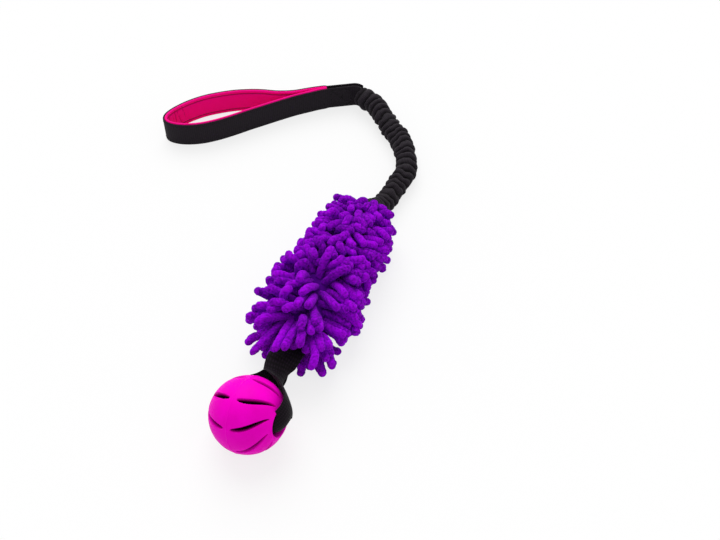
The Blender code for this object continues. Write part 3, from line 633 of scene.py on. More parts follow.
noise.seed_set(11)
chance = np.random.default_rng(11)
roots, headings, lengths, spring = [], [], [], []
for k in range(NOODLES):
    angle = k * TURN_OF_SEEDS
    along = MOP_HALF * (2 * (k + 0.5) / NOODLES - 1)
    out = Vector((math.cos(angle), 0, math.sin(angle)))
    root = out * float(roll_radius(along) - 0.0015) + Vector((0, along, 0))
    # The noodles on top have flopped over to one side or the other of a wandering parting.
    swirl = noise.noise_vector(root / CLUMP_SIZE + Vector((3.1, 7.7, 1.9)))
    flop = Vector(swirl) * 1.3 + Vector(chance.normal(0, 0.55, 3))
    on_top = max(0.0, out.z)
    parting_side = out.x + 0.9 * noise.noise(Vector((along / 0.022, 4.2, 0.0)))
    flop.x += 0.55 * out.x + 0.30 * on_top * max(-1.0, min(1.0, 2.5 * parting_side))
    flop.y -= 0.15
    flop -= out * flop.dot(out)
    share = along / MOP_HALF
    near_end, far_end = max(0, -share - 0.70) / 0.30, max(0, share - 0.72) / 0.28
    flop.y += -1.9 * near_end - 0.5 * far_end
    headings.append((out * (0.60 - 0.28 * on_top) + flop).normalized())
    spring.append(1 - 0.55 * on_top)
    roots.append(root)
    lengths.append(NOODLE_LENGTH * chance.uniform(0.86, 1.08) * (1 - 0.24 * float(ease(-0.5, 0.4, share))))
for end in (-1, 1):
    for k in range(END_NOODLES // 2):
        angle = 2 * math.pi * (k + 0.25) / (END_NOODLES // 2)
        out = Vector((math.cos(angle), 0, math.sin(angle)))
        roots.append(out * (0.0160 if end < 0 else 0.0112) + Vector((0, end * (MOP_HALF - 0.003), 0)))
        spring.append(1.0)
        wander = Vector(chance.normal(0, 0.16, 3))
        droop = 0.52 if end < 0 and out.z > 0.2 else 0.18
        headings.append((out * (0.22 if end < 0 else 1.5) + Vector((0, end, -droop)) + wander).normalized())
        near_size = 1.42 if out.z > 0.5 else 0.86
        lengths.append(NOODLE_LENGTH * chance.uniform(0.86, 1.08) * (near_size if end < 0 else 0.50))
roots = np.array([list(p) for p in roots])
headings = np.array([list(p) for p in headings])
seg = np.array(lengths)[:, None] / (JOINTS_IN_NOODLE - 1)
outs = roots * (1, 0, 1)
outs /= np.linalg.norm(outs, axis=1)[:, None]
curls = chance.normal(0, 0.20, roots.shape) + (0, 0, -0.24)
rest = [roots]
for k in range(1, JOINTS_IN_NOODLE):
    share = (k - 0.5) / (JOINTS_IN_NOODLE - 1)
    # Each noodle springs out of the fabric before it flops, then bends a little its own way.
    way = outs * np.array(spring)[:, None] * max(0, 0.75 - 2.2 * share) + headings + curls * share
    way /= np.linalg.norm(way, axis=1)[:, None]
    rest.append(rest[-1] + way * seg)
# Places are rounded to a micrometre, here and after each step, so that the last digits of a sum,
# which differ from run to run, can't grow into another heap.
rest = np.round(np.stack(rest, 1), 6)
noodles = rest.copy()
owner = np.repeat(np.arange(len(roots)), JOINTS_IN_NOODLE)
for step in range(SETTLING_STEPS):
    flat = noodles.reshape(-1, 3)
    squares = np.sum(flat**2, 1)
    apart = squares[:, None] + squares[None] - 2 * flat @ flat.T
    first, second = np.nonzero(apart < ELBOW_ROOM**2)
    crowd = (first < second) & (owner[first] != owner[second])
    first, second = first[crowd], second[crowd]
    between = flat[first] - flat[second]
    distance = np.maximum(np.linalg.norm(between, axis=1), 1e-5)[:, None]
    push = between / distance * (ELBOW_ROOM - distance) * 0.35
    shift = np.zeros_like(flat)
    np.add.at(shift, first, push)
    np.add.at(shift, second, -push)
    noodles += np.clip(shift, -0.002, 0.002).reshape(noodles.shape)
    noodles += (rest - noodles) * 0.04
    x, y, z = noodles[..., 0], noodles[..., 1], noodles[..., 2]
    # They rest on each other in a rounded heap, lower and narrower at the bungee's end.
    ceiling = np.interp(y / MOP_HALF, PLACES_ALONG, TOPS)
    side_reach = np.interp(y / MOP_HALF, PLACES_ALONG, SIDE_REACHES)
    fullness = (np.abs(x) / side_reach) ** 2.4 + (np.maximum(z, 0) / ceiling) ** 2.4
    draw_in = np.maximum(fullness, 1) ** (-1 / 2.4)
    draw_in = 1 - (1 - draw_in) * 0.60
    x *= draw_in
    z[:] = np.where(z > 0, z * draw_in, z)
    y -= np.maximum(y - MOP_HALF + 0.0040, 0) * 0.30
    from_axis = np.maximum(np.hypot(x, z), 1e-5)
    least = roll_radius(y) + 0.0015
    on_roll = (np.abs(y) < MOP_HALF) & (from_axis < least)
    on_roll[:, :2] = False
    spread_out = np.where(on_roll, least / from_axis, 1)
    x *= spread_out
    z *= spread_out
    # The floor holds them up, and the strap and the bungee keep a way out through the fringe.
    np.maximum(z, FLOOR_Z + NOODLE_RADIUS * 0.85, out=z)
    by_strap = (y < -MOP_HALF + 0.004) & (np.abs(x) < 0.0165) & (np.abs(z) < 0.0075)
    z[:] = np.where(by_strap, np.where(z < 0, -0.0075, 0.0075), z)
    from_axis = np.maximum(np.hypot(x, z), 1e-5)
    by_bungee = (y > MOP_HALF - 0.002) & (from_axis < 0.0145)
    spread_out = np.where(by_bungee, 0.0145 / from_axis, 1)
    x *= spread_out
    z *= spread_out
    noodles[:, 0] = roots
    for k in range(1, JOINTS_IN_NOODLE):
        way = noodles[:, k] - noodles[:, k - 1]
        if k > 1:
            before = noodles[:, k - 1] - noodles[:, k - 2]
            way = way + before * 0.85
        way /= np.maximum(np.linalg.norm(way, axis=1), 1e-6)[:, None]
        noodles[:, k] = noodles[:, k - 1] + way * seg
    noodles = np.round(noodles, 6)
noodles[..., 2] = np.maximum(noodles[..., 2], FLOOR_Z + NOODLE_RADIUS * 0.8)

NOODLE_SIDES, RINGS = 18, 46
TUFT_SIZE, TUFT_RISE = 0.0015, 0.00052
ring_shares = np.concatenate([np.linspace(0, 0.875, RINGS - 6), [0.90, 0.93, 0.955, 0.976, 0.99, 0.999]])
angles = np.linspace(0, 2 * math.pi, NOODLE_SIDES, endpoint=False)


def chenille_mesh(name, numbers):
    """The noodles with these numbers as closed fuzzy tubes with rounded tips, in one mesh."""
    verts, quads, shades, along_noodle, tuft_heights = [], [], [], [], []
    for number in numbers:
        curve = smooth_line(noodles[number], 8)
        marks = np.linspace(0, 1, len(curve))
        centres = np.stack([np.interp(ring_shares, marks, curve[:, c]) for c in range(3)], 1)
        travel = travel_along(centres)
        side = np.cross(travel[0], (0.3, 0.9, 0.2))
        tip_round = np.sqrt(np.clip(1 - ((ring_shares - 0.875) / 0.125).clip(0, 1) ** 2, 0.003, 1))
        plump = 0.93 + 0.14 * own_chances[number, 0]
        girths = NOODLE_RADIUS * plump * (0.88 + 0.12 * np.minimum(ring_shares * 3, 1)) * tip_round
        base = len(verts)
        for k in range(RINGS):
            side = side - travel[k] * np.dot(side, travel[k])
            side /= np.linalg.norm(side)
            other = np.cross(travel[k], side)
            outward_ways = np.outer(np.cos(angles), side) + np.outer(np.sin(angles), other)
            ring = centres[k] + outward_ways * girths[k]
            for spot, way in zip(ring, outward_ways):
                tuft = noise.noise(Vector(spot) / TUFT_SIZE + Vector((number * 9.0, 0, 0)))
                verts.append(spot + way * TUFT_RISE * tuft)
                tuft_heights.append(0.5 + tuft)
            along_noodle.extend([ring_shares[k]] * NOODLE_SIDES)
        for k in range(RINGS - 1):
            low, high = base + k * NOODLE_SIDES, base + (k + 1) * NOODLE_SIDES
            for j in range(NOODLE_SIDES):
                following = (j + 1) % NOODLE_SIDES
                quads.append((low + j, low + following, high + following, high + j))
        quads.append(tuple(base + j for j in reversed(range(NOODLE_SIDES))))
        quads.append(tuple(base + (RINGS - 1) * NOODLE_SIDES + j for j in range(NOODLE_SIDES)))
        shades.extend([own_chances[number, 1]] * (RINGS * NOODLE_SIDES))
    verts = np.array(verts) + np.array(MOP_MIDDLE)
    verts[:, 2] = np.maximum(verts[:, 2], 0.0002)
    mesh = bpy.data.meshes.new(name)
    mesh.from_pydata(verts.tolist(), [], quads)
    for attribute, values in (("shade", shades), ("reach", along_noodle), ("tuft", tuft_heights)):
        layer = mesh.attributes.new(attribute, "FLOAT", "POINT")
        layer.data.foreach_set("value", np.array(values, np.float32))
    mesh.shade_smooth()
    return mesh


own_chances = chance.uniform(0, 1, (len(noodles), 2))
reach_over = (noodles[..., 1] < -MOP_HALF - 0.003) & (np.abs(noodles[..., 0]) < 0.0205)
on_the_strap = reach_over.any(axis=1)

# Brushed polyester microfibre: short pile a few tenths of a millimetre long on every noodle. It
# soaks up light face on and turns paler at the rims. Its colour is painted darker towards each
# noodle's root, painted shade down between the noodles, and paler on the rises of the fuzz,
# painted light and shade over its relief.
PILE_MM = 1.1
fleece = bpy.data.materials.new("brushed_purple_microfibre")
fleece.use_nodes = True
tree = fleece.node_tree
pile = tree.nodes["Principled BSDF"]
pile.inputs["Roughness"].default_value = 0.95
pile.inputs["Specular IOR Level"].default_value = 0.05
pile.inputs["Sheen Weight"].default_value = 0.22
pile.inputs["Sheen Roughness"].default_value = 0.35
pile.inputs["Sheen Tint"].default_value = linear("B05CF4")
shade = add_node(tree, "ShaderNodeAttribute", {"attribute_name": "shade"})
reach = add_node(tree, "ShaderNodeAttribute", {"attribute_name": "reach"})
place = add_node(tree, "ShaderNodeTexCoord")
tufts = add_node(
    tree,
    "ShaderNodeTexNoise",
    inputs={"Scale": 1000 / PILE_MM, "Detail": 3, "Roughness": 0.6},
    links={"Vector": place.outputs["Object"]},
)
tuft_height = add_node(tree, "ShaderNodeAttribute", {"attribute_name": "tuft"})
own_shade = add_node(
    tree, "ShaderNodeMath", {"operation": "MULTIPLY_ADD"}, {1: 0.30, 2: -0.12}, {0: shade.outputs["Fac"]}
)
# Painted light and shade: the colour is paler where the fuzz is raised and darker in its dips, following the noise
# that moves the surface.
lift = add_node(
    tree,
    "ShaderNodeMath",
    {"operation": "MULTIPLY_ADD"},
    {1: 0.60},
    {0: tuft_height.outputs["Fac"], 2: own_shade.outputs[0]},
)
mottle = add_node(
    tree,
    "ShaderNodeMath",
    {"operation": "MULTIPLY_ADD"},
    {1: 0.45},
    {0: tufts.outputs["Fac"], 2: lift.outputs[0]},
)
purple = add_node(tree, "ShaderNodeValToRGB", links={"Fac": mottle.outputs[0]})
purple.color_ramp.elements[0].position, purple.color_ramp.elements[1].position = 0.20, 0.85
purple.color_ramp.elements[0].color = linear("5E0090")
purple.color_ramp.elements[1].color = linear("AA04E6")
# Painted shade: the colour darkens towards 2E0060 near each noodle's root, where the noodles crowd.
painted_root_shade = add_node(
    tree,
    "ShaderNodeMapRange",
    inputs={"From Min": 0.0, "From Max": 0.7, "To Min": 0.45, "To Max": 1.0},
    links={"Value": reach.outputs["Fac"]},
)
root_shaded_purple = add_node(
    tree,
    "ShaderNodeMix",
    {"data_type": "RGBA"},
    {"A": linear("2E0060")},
    {"Factor": painted_root_shade.outputs[0], "B": purple.outputs["Color"]},
)
tree.links.new(root_shaded_purple.outputs["Result"], pile.inputs["Base Color"])
nap = add_node(
    tree, "ShaderNodeBump", inputs={"Strength": 1.0, "Distance": 0.0007}, links={"Height": tufts.outputs["Fac"]}
)
tree.links.new(nap.outputs["Normal"], pile.inputs["Normal"])
chenille = show(
    "chenille_noodles",
    chenille_mesh("chenille_noodles", np.flatnonzero(~on_the_strap)),
    fleece,
)
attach(chenille, "mop")
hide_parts(*[f"mop_fleece_{k}" for k in range(1, 7)])
# The noodles that lie on and under the strap go in a mesh of their own.
fringe = show(
    "fringe_noodles",
    chenille_mesh("fringe_noodles", np.flatnonzero(on_the_strap)),
    fleece,
)
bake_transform(fringe)

roll_rows = []
for along, radius in (
    *[(y, ROLL_RADIUS) for y in np.linspace(-MOP_HALF, MOP_HALF, 40)],
    *[(y, ROLL_INSIDE_RADIUS) for y in np.linspace(MOP_HALF, -MOP_HALF, 24)],
):
    round_angles = np.linspace(0, 2 * math.pi, 64, endpoint=False)
    wave = radius + roll_radius(along) - ROLL_RADIUS + 0.0003 * np.sin(round_angles * 9 + along * 300)
    roll_rows.append(
        np.stack([wave * np.cos(round_angles), np.full(64, along), wave * np.sin(round_angles)], 1)
    )
roll_mesh = grid_mesh("fleece_roll", np.array(roll_rows) + np.array(MOP_MIDDLE), True, True)
fleece_roll = show("fleece_roll", roll_mesh, fleece)
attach(fleece_roll, "mop")


# Bungee
# Strands of rubber in a woven sheath make the elastic. A tube of black polyester cloth, far longer
# than the elastic at rest, is gathered over it, so it falls in soft folds about 7 mm apart.
BUNGEE_START = Vector((0.0944, 0.0511, 0.025))
BUNGEE_DIAMETER = 0.0204
BUNGEE_ROUTE = [
    (0.0000, 0.0000, 0.0000),
    (0.0008, 0.0092, -0.0040),
    (0.0026, 0.0185, -0.0090),
    (0.0044, 0.0290, -0.0125),
    (0.0056, 0.0405, -0.0140),
    (0.0066, 0.0545, -0.0144),
    (0.0070, 0.0690, -0.0144),
    (0.0050, 0.0815, -0.0144),
    (0.0006, 0.0925, -0.0144),
    (-0.0060, 0.1035, -0.0144),
    (-0.0145, 0.1140, -0.0144),
    (-0.0240, 0.1232, -0.0144),
    (-0.0340, 0.1318, -0.0140),
    (-0.0446, 0.1405, -0.0130),
    (-0.0558, 0.1489, -0.0120),
    (-0.0651, 0.1531, -0.0120),
    (-0.0744, 0.1573, -0.0120),
]
FOLD_PITCH = 0.0074
VALLEY_RADIUS = 0.0075
FOLD_RISE = 0.0029
CLOTH_THICKNESS = 0.0007
SHEATH_RADIUS = 0.0049
ELASTIC_RADIUS = 0.0035

rough_line = smooth_line(BUNGEE_ROUTE, 12)
marks = np.concatenate([[0], np.cumsum(np.linalg.norm(np.diff(rough_line, axis=0), axis=1))])
route_length = marks[-1]


def bungee_points(count):
    """The bungee's middle line as evenly spaced points, in the toy's frame."""
    even = np.linspace(0, route_length, count)
    line = np.stack([np.interp(even, marks, rough_line[:, c]) for c in range(3)], 1)
    return line + np.array(BUNGEE_START)


def tube_points(line, radii, sides):
    """Rings of points round a line that lies mostly level, and the outward directions used."""
    travel = travel_along(line)
    side = np.cross(travel, (0, 0, 1))
    side /= np.linalg.norm(side, axis=1)[:, None]
    rise = np.cross(side, travel)
    round_angles = np.linspace(0, 2 * math.pi, sides, endpoint=False)
    outward = (
        side[:, None] * np.cos(round_angles)[None, :, None]
        + rise[:, None] * np.sin(round_angles)[None, :, None]
    )
    return line[:, None] + outward * radii[..., None], outward


ALONG, AROUND = 420, 72
sleeve_line = bungee_points(ALONG)
sleeve_travel = travel_along(sleeve_line)
turning = -np.gradient(sleeve_travel, axis=0)
kernel = np.ones(25) / 25
turning = np.stack([np.convolve(turning[:, c], kernel, mode="same") for c in range(3)], 1)
turning /= np.abs(turning).max()
_, outward = tube_points(sleeve_line, np.ones((ALONG, AROUND)), AROUND)
outer_side = np.sum(outward * turning[:, None], 2)
arc = np.linspace(0, route_length, ALONG)
round_angles = np.linspace(0, 2 * math.pi, AROUND, endpoint=False)
sleeve_radii = np.empty((ALONG, AROUND))
crest_shares = np.empty((ALONG, AROUND))
for i in range(ALONG):
    for j in range(AROUND):
        way = outward[i, j]
        fold_at = arc[i] / FOLD_PITCH
        wobble = noise.noise(Vector((fold_at * 0.35, way[0] * 0.9 + 4, way[2] * 0.9)))
        wobble2 = noise.noise(Vector((fold_at * 0.8 + 9, way[0] * 2.2, way[2] * 2.2 + way[1])))
        phase = fold_at + 0.60 * wobble + 0.16 * wobble2
        crest = abs(math.sin(math.pi * phase)) ** 0.55
        number = math.floor(phase)
        swell = 1 + 0.50 * noise.noise(Vector((number * 3.7, way[0] * 1.3, way[2] * 1.3)))
        tuck = noise.noise(Vector((phase * 2.6, way[0] * 4.5, way[2] * 4.5 + way[1] * 3)))
        height = FOLD_RISE * (swell + 0.45 * outer_side[i, j])
        sleeve_radii[i, j] = VALLEY_RADIUS + height * crest + 0.0004 * tuck
        crest_shares[i, j] = crest + 0.2 * tuck
end_share = np.minimum(arc, route_length - arc) / 0.004
# It thins a little towards the mop, where the cloth is drawn tighter round the elastic.
drawn_in = np.interp(arc, (0, 0.050, route_length), (0.91, 0.97, 1.03))
sleeve_radii *= ((0.90 + 0.10 * np.clip(end_share, 0, 1)) * drawn_in)[:, None]
outer_skin, _ = tube_points(sleeve_line, sleeve_radii, AROUND)
inner_skin, _ = tube_points(sleeve_line[::3], np.maximum(sleeve_radii[::3] - CLOTH_THICKNESS, 0.0055), AROUND)
outer_skin[..., 2] = np.maximum(outer_skin[..., 2], 0.0002)
sleeve_rows = np.concatenate([outer_skin, inner_skin[::-1]])
sleeve_mesh = grid_mesh("gathered_sleeve", sleeve_rows, True, True, flip=True)
spread = sleeve_mesh.uv_layers["spread"].data
uv = np.empty(len(spread) * 2, np.float32)
spread.foreach_get("uv", uv)
uv = uv.reshape(-1, 2) * (2 * route_length, 2 * math.pi * BUNGEE_DIAMETER / 2)
spread.foreach_set("uv", uv.astype(np.float32).ravel())

crest_rows = np.concatenate([crest_shares, crest_shares[::3][::-1]])
sleeve_mesh.attributes.new("crest", "FLOAT", "POINT").data.foreach_set(
    "value", crest_rows.astype(np.float32).ravel()
)

# Plain polyester cloth with a fine even weave, matt. Its colour is painted darker down in the creases between the
# folds, painted shade that leaves the crests paler.
gathered_cloth = woven_black("plain_black_polyester_cloth", 0.8, 0.8, "1C171D", "352F36", 0.00015)
tree = gathered_cloth.node_tree
cloth = tree.nodes["Principled BSDF"]
crest = add_node(tree, "ShaderNodeAttribute", {"attribute_name": "crest"})
# Painted shade: the colour goes down to 090509 in the fold creases.
from_crease = add_node(
    tree,
    "ShaderNodeMapRange",
    inputs={"From Min": 0.30, "From Max": 0.95},
    links={"Value": crest.outputs["Fac"]},
)
crease_painted_shade = add_node(
    tree,
    "ShaderNodeMix",
    {"data_type": "RGBA"},
    {"A": linear("090509")},
    {"Factor": from_crease.outputs[0], "B": cloth.inputs["Base Color"].links[0].from_socket},
)
tree.links.new(crease_painted_shade.outputs["Result"], cloth.inputs["Base Color"])
sleeve = show("gathered_sleeve", sleeve_mesh, gathered_cloth)
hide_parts("bungee_sleeve")
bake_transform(sleeve)

sheath_braid = woven_black("braided_polyester_sheath", 1.2, 1.2, "111011", "2A282B", 0.0002)
core_line = bungee_points(60)
sheath_rows = np.concatenate(
    [
        tube_points(core_line, np.full((60, 24), SHEATH_RADIUS), 24)[0],
        tube_points(core_line[::-1], np.full((60, 24), ELASTIC_RADIUS + 0.0004), 24)[0][:, ::-1],
    ]
)
sheath_mesh = grid_mesh("braided_sheath", sheath_rows, True, True, flip=True)
spread = sheath_mesh.uv_layers["spread"].data
uv = np.empty(len(spread) * 2, np.float32)
spread.foreach_get("uv", uv)
uv = uv.reshape(-1, 2) * (2 * route_length, 2 * math.pi * SHEATH_RADIUS)
spread.foreach_set("uv", uv.astype(np.float32).ravel())
sheath = show("braided_sheath", sheath_mesh, sheath_braid)
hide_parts("cord_sheath")
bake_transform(sheath)

# The elastic's strands are plain grey latex, dull and slightly translucent, with powder on them.
latex = bpy.data.materials.new("powdered_grey_latex")
latex.use_nodes = True
tree = latex.node_tree
strand_skin = tree.nodes["Principled BSDF"]
strand_skin.inputs["Roughness"].default_value = 0.8
place = add_node(tree, "ShaderNodeTexCoord")
powder = add_node(
    tree, "ShaderNodeTexNoise", inputs={"Scale": 1000 / 2.0, "Detail": 4}, links={"Vector": place.outputs["Object"]}
)
tone = add_node(tree, "ShaderNodeValToRGB", links={"Fac": powder.outputs["Fac"]})
tone.color_ramp.elements[0].color = linear("6C6A66")
tone.color_ramp.elements[1].color = linear("9A9790")
tree.links.new(tone.outputs["Color"], strand_skin.inputs["Base Color"])
STRAND_GROOVES = 9
elastic_angles = np.linspace(0, 2 * math.pi, 36, endpoint=False)
elastic_radius = ELASTIC_RADIUS * (0.94 + 0.06 * np.abs(np.cos(elastic_angles * STRAND_GROOVES / 2)))
elastic_rings = tube_points(core_line, np.tile(elastic_radius, (60, 1)), 36)[0]
elastic_mesh = grid_mesh("rubber_strands", elastic_rings, False, True, flip=True)
bm = bmesh.new()
bm.from_mesh(elastic_mesh)
bm.verts.ensure_lookup_table()
bm.faces.new([bm.verts[k] for k in range(36)])
bm.faces.new([bm.verts[len(bm.verts) - 36 + k] for k in reversed(range(36))])
bmesh.ops.recalc_face_normals(bm, faces=bm.faces)
bm.to_mesh(elastic_mesh)
bm.free()
elastic = show("rubber_strands", elastic_mesh, latex)
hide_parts("rubber_core")
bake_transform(elastic)


# Hand loop band
# Black nylon webbing 25 mm wide with a smooth, finer weave. It runs up one side of the bungee's
# tab, round the loop on its edge, and back down the tab's other side.
STEM_END = Vector((0.0200, 0.2084, 0.013))
STEM_HEADING = math.atan2(-0.54017, -0.84155)
STEM_BEND_RADIUS = 0.009
STEM_BEND = math.radians(57)
STEM_LENGTH = 0.0262
BAND_WIDTH = 0.025
BAND_THICKNESS = 0.0015
LAYER_OFFSET = 0.0021
LOOP_LENGTH = 0.162
LOOP_WIDTH = 0.045
LOOP_SHARES = [
    (0.020, -0.070),
    (0.060, -0.066),
    (0.113, -0.054),
    (0.214, -0.022),
    (0.312, -0.062),
    (0.404, -0.158),
    (0.491, -0.213),
    (0.597, -0.233),
    (0.715, -0.193),
    (0.801, -0.122),
    (0.892, 0.013),
    (0.968, 0.185),
    (1.010, 0.345),
    (1.018, 0.500),
    (0.994, 0.635),
    (0.940, 0.738),
    (0.870, 0.790),
    (0.790, 0.793),
    (0.697, 0.735),
    (0.605, 0.640),
    (0.504, 0.516),
    (0.407, 0.407),
    (0.311, 0.300),
    (0.212, 0.198),
    (0.113, 0.124),
    (0.060, 0.086),
    (0.020, 0.070),
]
stem_frame = Matrix.Translation(STEM_END) @ Matrix.Rotation(STEM_HEADING, 4, "Z")
stem_line_y = -STEM_BEND_RADIUS * (1 - math.cos(STEM_BEND))
stem_straight_x = STEM_BEND_RADIUS * math.sin(STEM_BEND)
loop_start_x = stem_straight_x + STEM_LENGTH


def stem_layer(offset):
    """One layer of the stem from its bent end towards the loop, at an offset to the near side."""
    centre = np.array((stem_straight_x, STEM_BEND_RADIUS + stem_line_y, 0))
    bend = [
        centre + np.array((-math.sin(a), -math.cos(a), 0)) * (STEM_BEND_RADIUS - offset)
        for a in np.linspace(STEM_BEND, 0, 9)
    ]
    run = [(stem_straight_x + d, stem_line_y + offset, 0) for d in np.linspace(0, STEM_LENGTH, 9)[1:]]
    return np.array(bend + run)


far_layer, near_layer = stem_layer(-LAYER_OFFSET), stem_layer(LAYER_OFFSET)
loop_points = np.array(
    [(loop_start_x + x * LOOP_LENGTH, stem_line_y + y * LOOP_WIDTH, 0) for x, y in LOOP_SHARES]
)
open_loop = smooth_line([far_layer[-1], *loop_points, near_layer[-1]], 9)
band_line = np.vstack([far_layer[:-1], open_loop, near_layer[:-1][::-1]])


def evenly(line, count):
    """The same line as evenly spaced points."""
    reach = np.concatenate([[0], np.cumsum(np.linalg.norm(np.diff(line, axis=0), axis=1))])
    even = np.linspace(0, reach[-1], count)
    return np.stack([np.interp(even, reach, line[:, c]) for c in range(3)], 1)


band_line = evenly(band_line, 330)
upward = np.tile((0.0, 0.0, 1.0), (len(band_line), 1))
band_outline = webbing_outline(BAND_WIDTH, BAND_THICKNESS, 15)
band_mesh = lay_webbing("hand_loop_band", band_line, upward, band_outline)
band_mesh.transform(stem_frame)
band_webbing = woven_black("smooth_black_nylon_webbing", 1.0, 0.7, "1A151B", "282229", 0.0002)
band = show("hand_loop_band", band_mesh, band_webbing)
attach(band, "handle")
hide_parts("handle_band")


# Hand loop lining
# Padded pink neoprene as wide as the band and a little over, folded under along its edges and
# sewn through with two rows of stitches. It creases where the loop turns tightest, at its tip.
LINING_WIDTH = 0.026
LINING_THICKNESS = 0.0023
LINING_PUFF = 0.0006
ROW_FROM_EDGE = 0.0036
ROW_SINK = 0.0008
CREASE_DEPTH = 0.0005
CREASE_PITCH = 0.0048

lining_ends = [(loop_start_x + 0.0005, stem_line_y + side * 0.0026, 0) for side in (-1, 1)]
lining_line = evenly(smooth_line([lining_ends[0], *loop_points, lining_ends[1]], 9), 420)
lining_travel = travel_along(lining_line)
inward = np.cross((0, 0, 1), lining_travel)
lining_inset = BAND_THICKNESS / 2 + 0.0002 + LINING_THICKNESS / 2
lining_line = lining_line + inward * lining_inset
half = LINING_WIDTH / 2
edge = LINING_THICKNESS / 2
inner_places = np.linspace(half - edge * 0.7, -half + edge * 0.7, 61)
lining_arc = np.concatenate([[0], np.cumsum(np.linalg.norm(np.diff(lining_line, axis=0), axis=1))])
bend_here = np.linalg.norm(np.gradient(travel_along(lining_line), lining_arc, axis=0), axis=1)
tightness = ease(18, 50, np.convolve(bend_here, np.ones(21) / 21, mode="same"))
# The creases run on from the tip along the wall that is farther from the stem's near face.
tightness = np.maximum(tightness, np.roll(tightness, -18))
sections, creases = [], []
for k, reach in enumerate(lining_arc):
    from_row = np.abs(np.abs(inner_places) - (half - ROW_FROM_EDGE))
    row_dip = -ROW_SINK * np.exp(-((from_row / 0.0008) ** 2))
    middle = np.clip(1 - (np.abs(inner_places) / (half - ROW_FROM_EDGE)) ** 2, 0, 1) ** 0.6
    rolled = np.clip(1 - ((np.abs(inner_places) - (half - ROW_FROM_EDGE / 2)) / (ROW_FROM_EDGE / 2)) ** 2, 0, 1)
    puff = LINING_PUFF * middle + 0.0003 * np.sqrt(rolled)
    folds, crease_shade = [], []
    for place_across in inner_places:
        lean = noise.noise(Vector((place_across * 60, reach * 30, 1.0)))
        wander = noise.noise(Vector((reach / 0.008, place_across * 30, 5.0)))
        fold = math.sin(math.pi * ((reach + lean * 0.0015) / CREASE_PITCH + 0.7 * wander))
        slow = noise.noise(Vector((reach / 0.020, place_across * 45, 9.0)))
        line = max(0.0, 1 - abs(fold) / 0.30)
        folds.append(-CREASE_DEPTH * (1.7 * tightness[k] * line + 0.5 * slow))
        # Painted shade: the colour is darkened along each crease line where the loop turns tight.
        crease_shade.append(0.6 * tightness[k] * line)
    inner = edge + puff + row_dip + np.array(folds) * np.clip(middle * 1.5 + 0.15, 0, 1)
    far_edge = [(-half + edge * (1 - math.sin(a)), edge * math.cos(a)) for a in np.linspace(0.5, math.pi - 0.5, 6)]
    near_edge = [(-x, -y) for x, y in far_edge]
    back = [(x, -edge) for x in np.linspace(-half + edge * 0.8, half - edge * 0.8, 12)]
    sections.append(list(zip(inner_places, inner)) + far_edge + back + near_edge)
    # Painted shade: the colour is also darkened along the sunk stitch rows.
    sewn = 0.9 * np.exp(-((from_row / 0.0006) ** 2))
    creases.append(np.concatenate([np.maximum(sewn, crease_shade), np.zeros(len(sections[-1]) - len(sewn))]))
lining_up = np.tile((0.0, 0.0, 1.0), (len(lining_line), 1))
sections = np.array(sections)
lining_mesh = lay_webbing("padded_lining", lining_line, lining_up, sections)
lining_mesh.transform(stem_frame)
in_middle = 1 - ease(half - ROW_FROM_EDGE - 0.0006, half - ROW_FROM_EDGE + 0.0002, np.abs(sections[..., 0]))
for layer_name, layer in (("middle", in_middle), ("groove_and_crease_shade", np.array(creases))):
    values = lining_mesh.attributes.new(layer_name, "FLOAT", "POINT").data
    values.foreach_set("value", layer.astype(np.float32).ravel())

# Smooth nylon jersey over thin foam. The knit's wales are half a millimetre apart. The folded
# edges are painted a little brighter than the middle, painted light where they face it, and the
# sunk rows and the tip's creases are painted dark, painted shade.
WALE_MM = 0.5
jersey = bpy.data.materials.new("hot_pink_neoprene_jersey")
jersey.use_nodes = True
tree = jersey.node_tree
knit = tree.nodes["Principled BSDF"]
knit.inputs["Roughness"].default_value = 0.62
knit.inputs["Specular IOR Level"].default_value = 0.06
knit.inputs["Sheen Weight"].default_value = 0.04
knit.inputs["Sheen Roughness"].default_value = 0.4
lengths = add_node(tree, "ShaderNodeUVMap", {"uv_map": "spread"})
wales = add_node(
    tree,
    "ShaderNodeTexWave",
    {"bands_direction": "Y"},
    {"Scale": 1000 / WALE_MM / 20 * math.pi, "Distortion": 0.8, "Detail": 1},
    {"Vector": lengths.outputs["UV"]},
)
place = add_node(tree, "ShaderNodeTexCoord")
mottle = add_node(
    tree, "ShaderNodeTexNoise", inputs={"Scale": 1000 / 9, "Detail": 4}, links={"Vector": place.outputs["Object"]}
)
blush = add_node(tree, "ShaderNodeValToRGB", links={"Fac": mottle.outputs["Fac"]})
blush.color_ramp.elements[0].position, blush.color_ramp.elements[1].position = 0.35, 0.65
blush.color_ramp.elements[0].color = linear("F80086")
blush.color_ramp.elements[1].color = linear("FF0090")
# Painted light: the folded edges take the brighter pink, and the middle takes F4008E.
middle = add_node(tree, "ShaderNodeAttribute", {"attribute_name": "middle"})
painted_edge_light = add_node(
    tree,
    "ShaderNodeMix",
    {"data_type": "RGBA"},
    {"B": linear("F4008E")},
    {"Factor": middle.outputs["Fac"], "A": blush.outputs["Color"]},
)
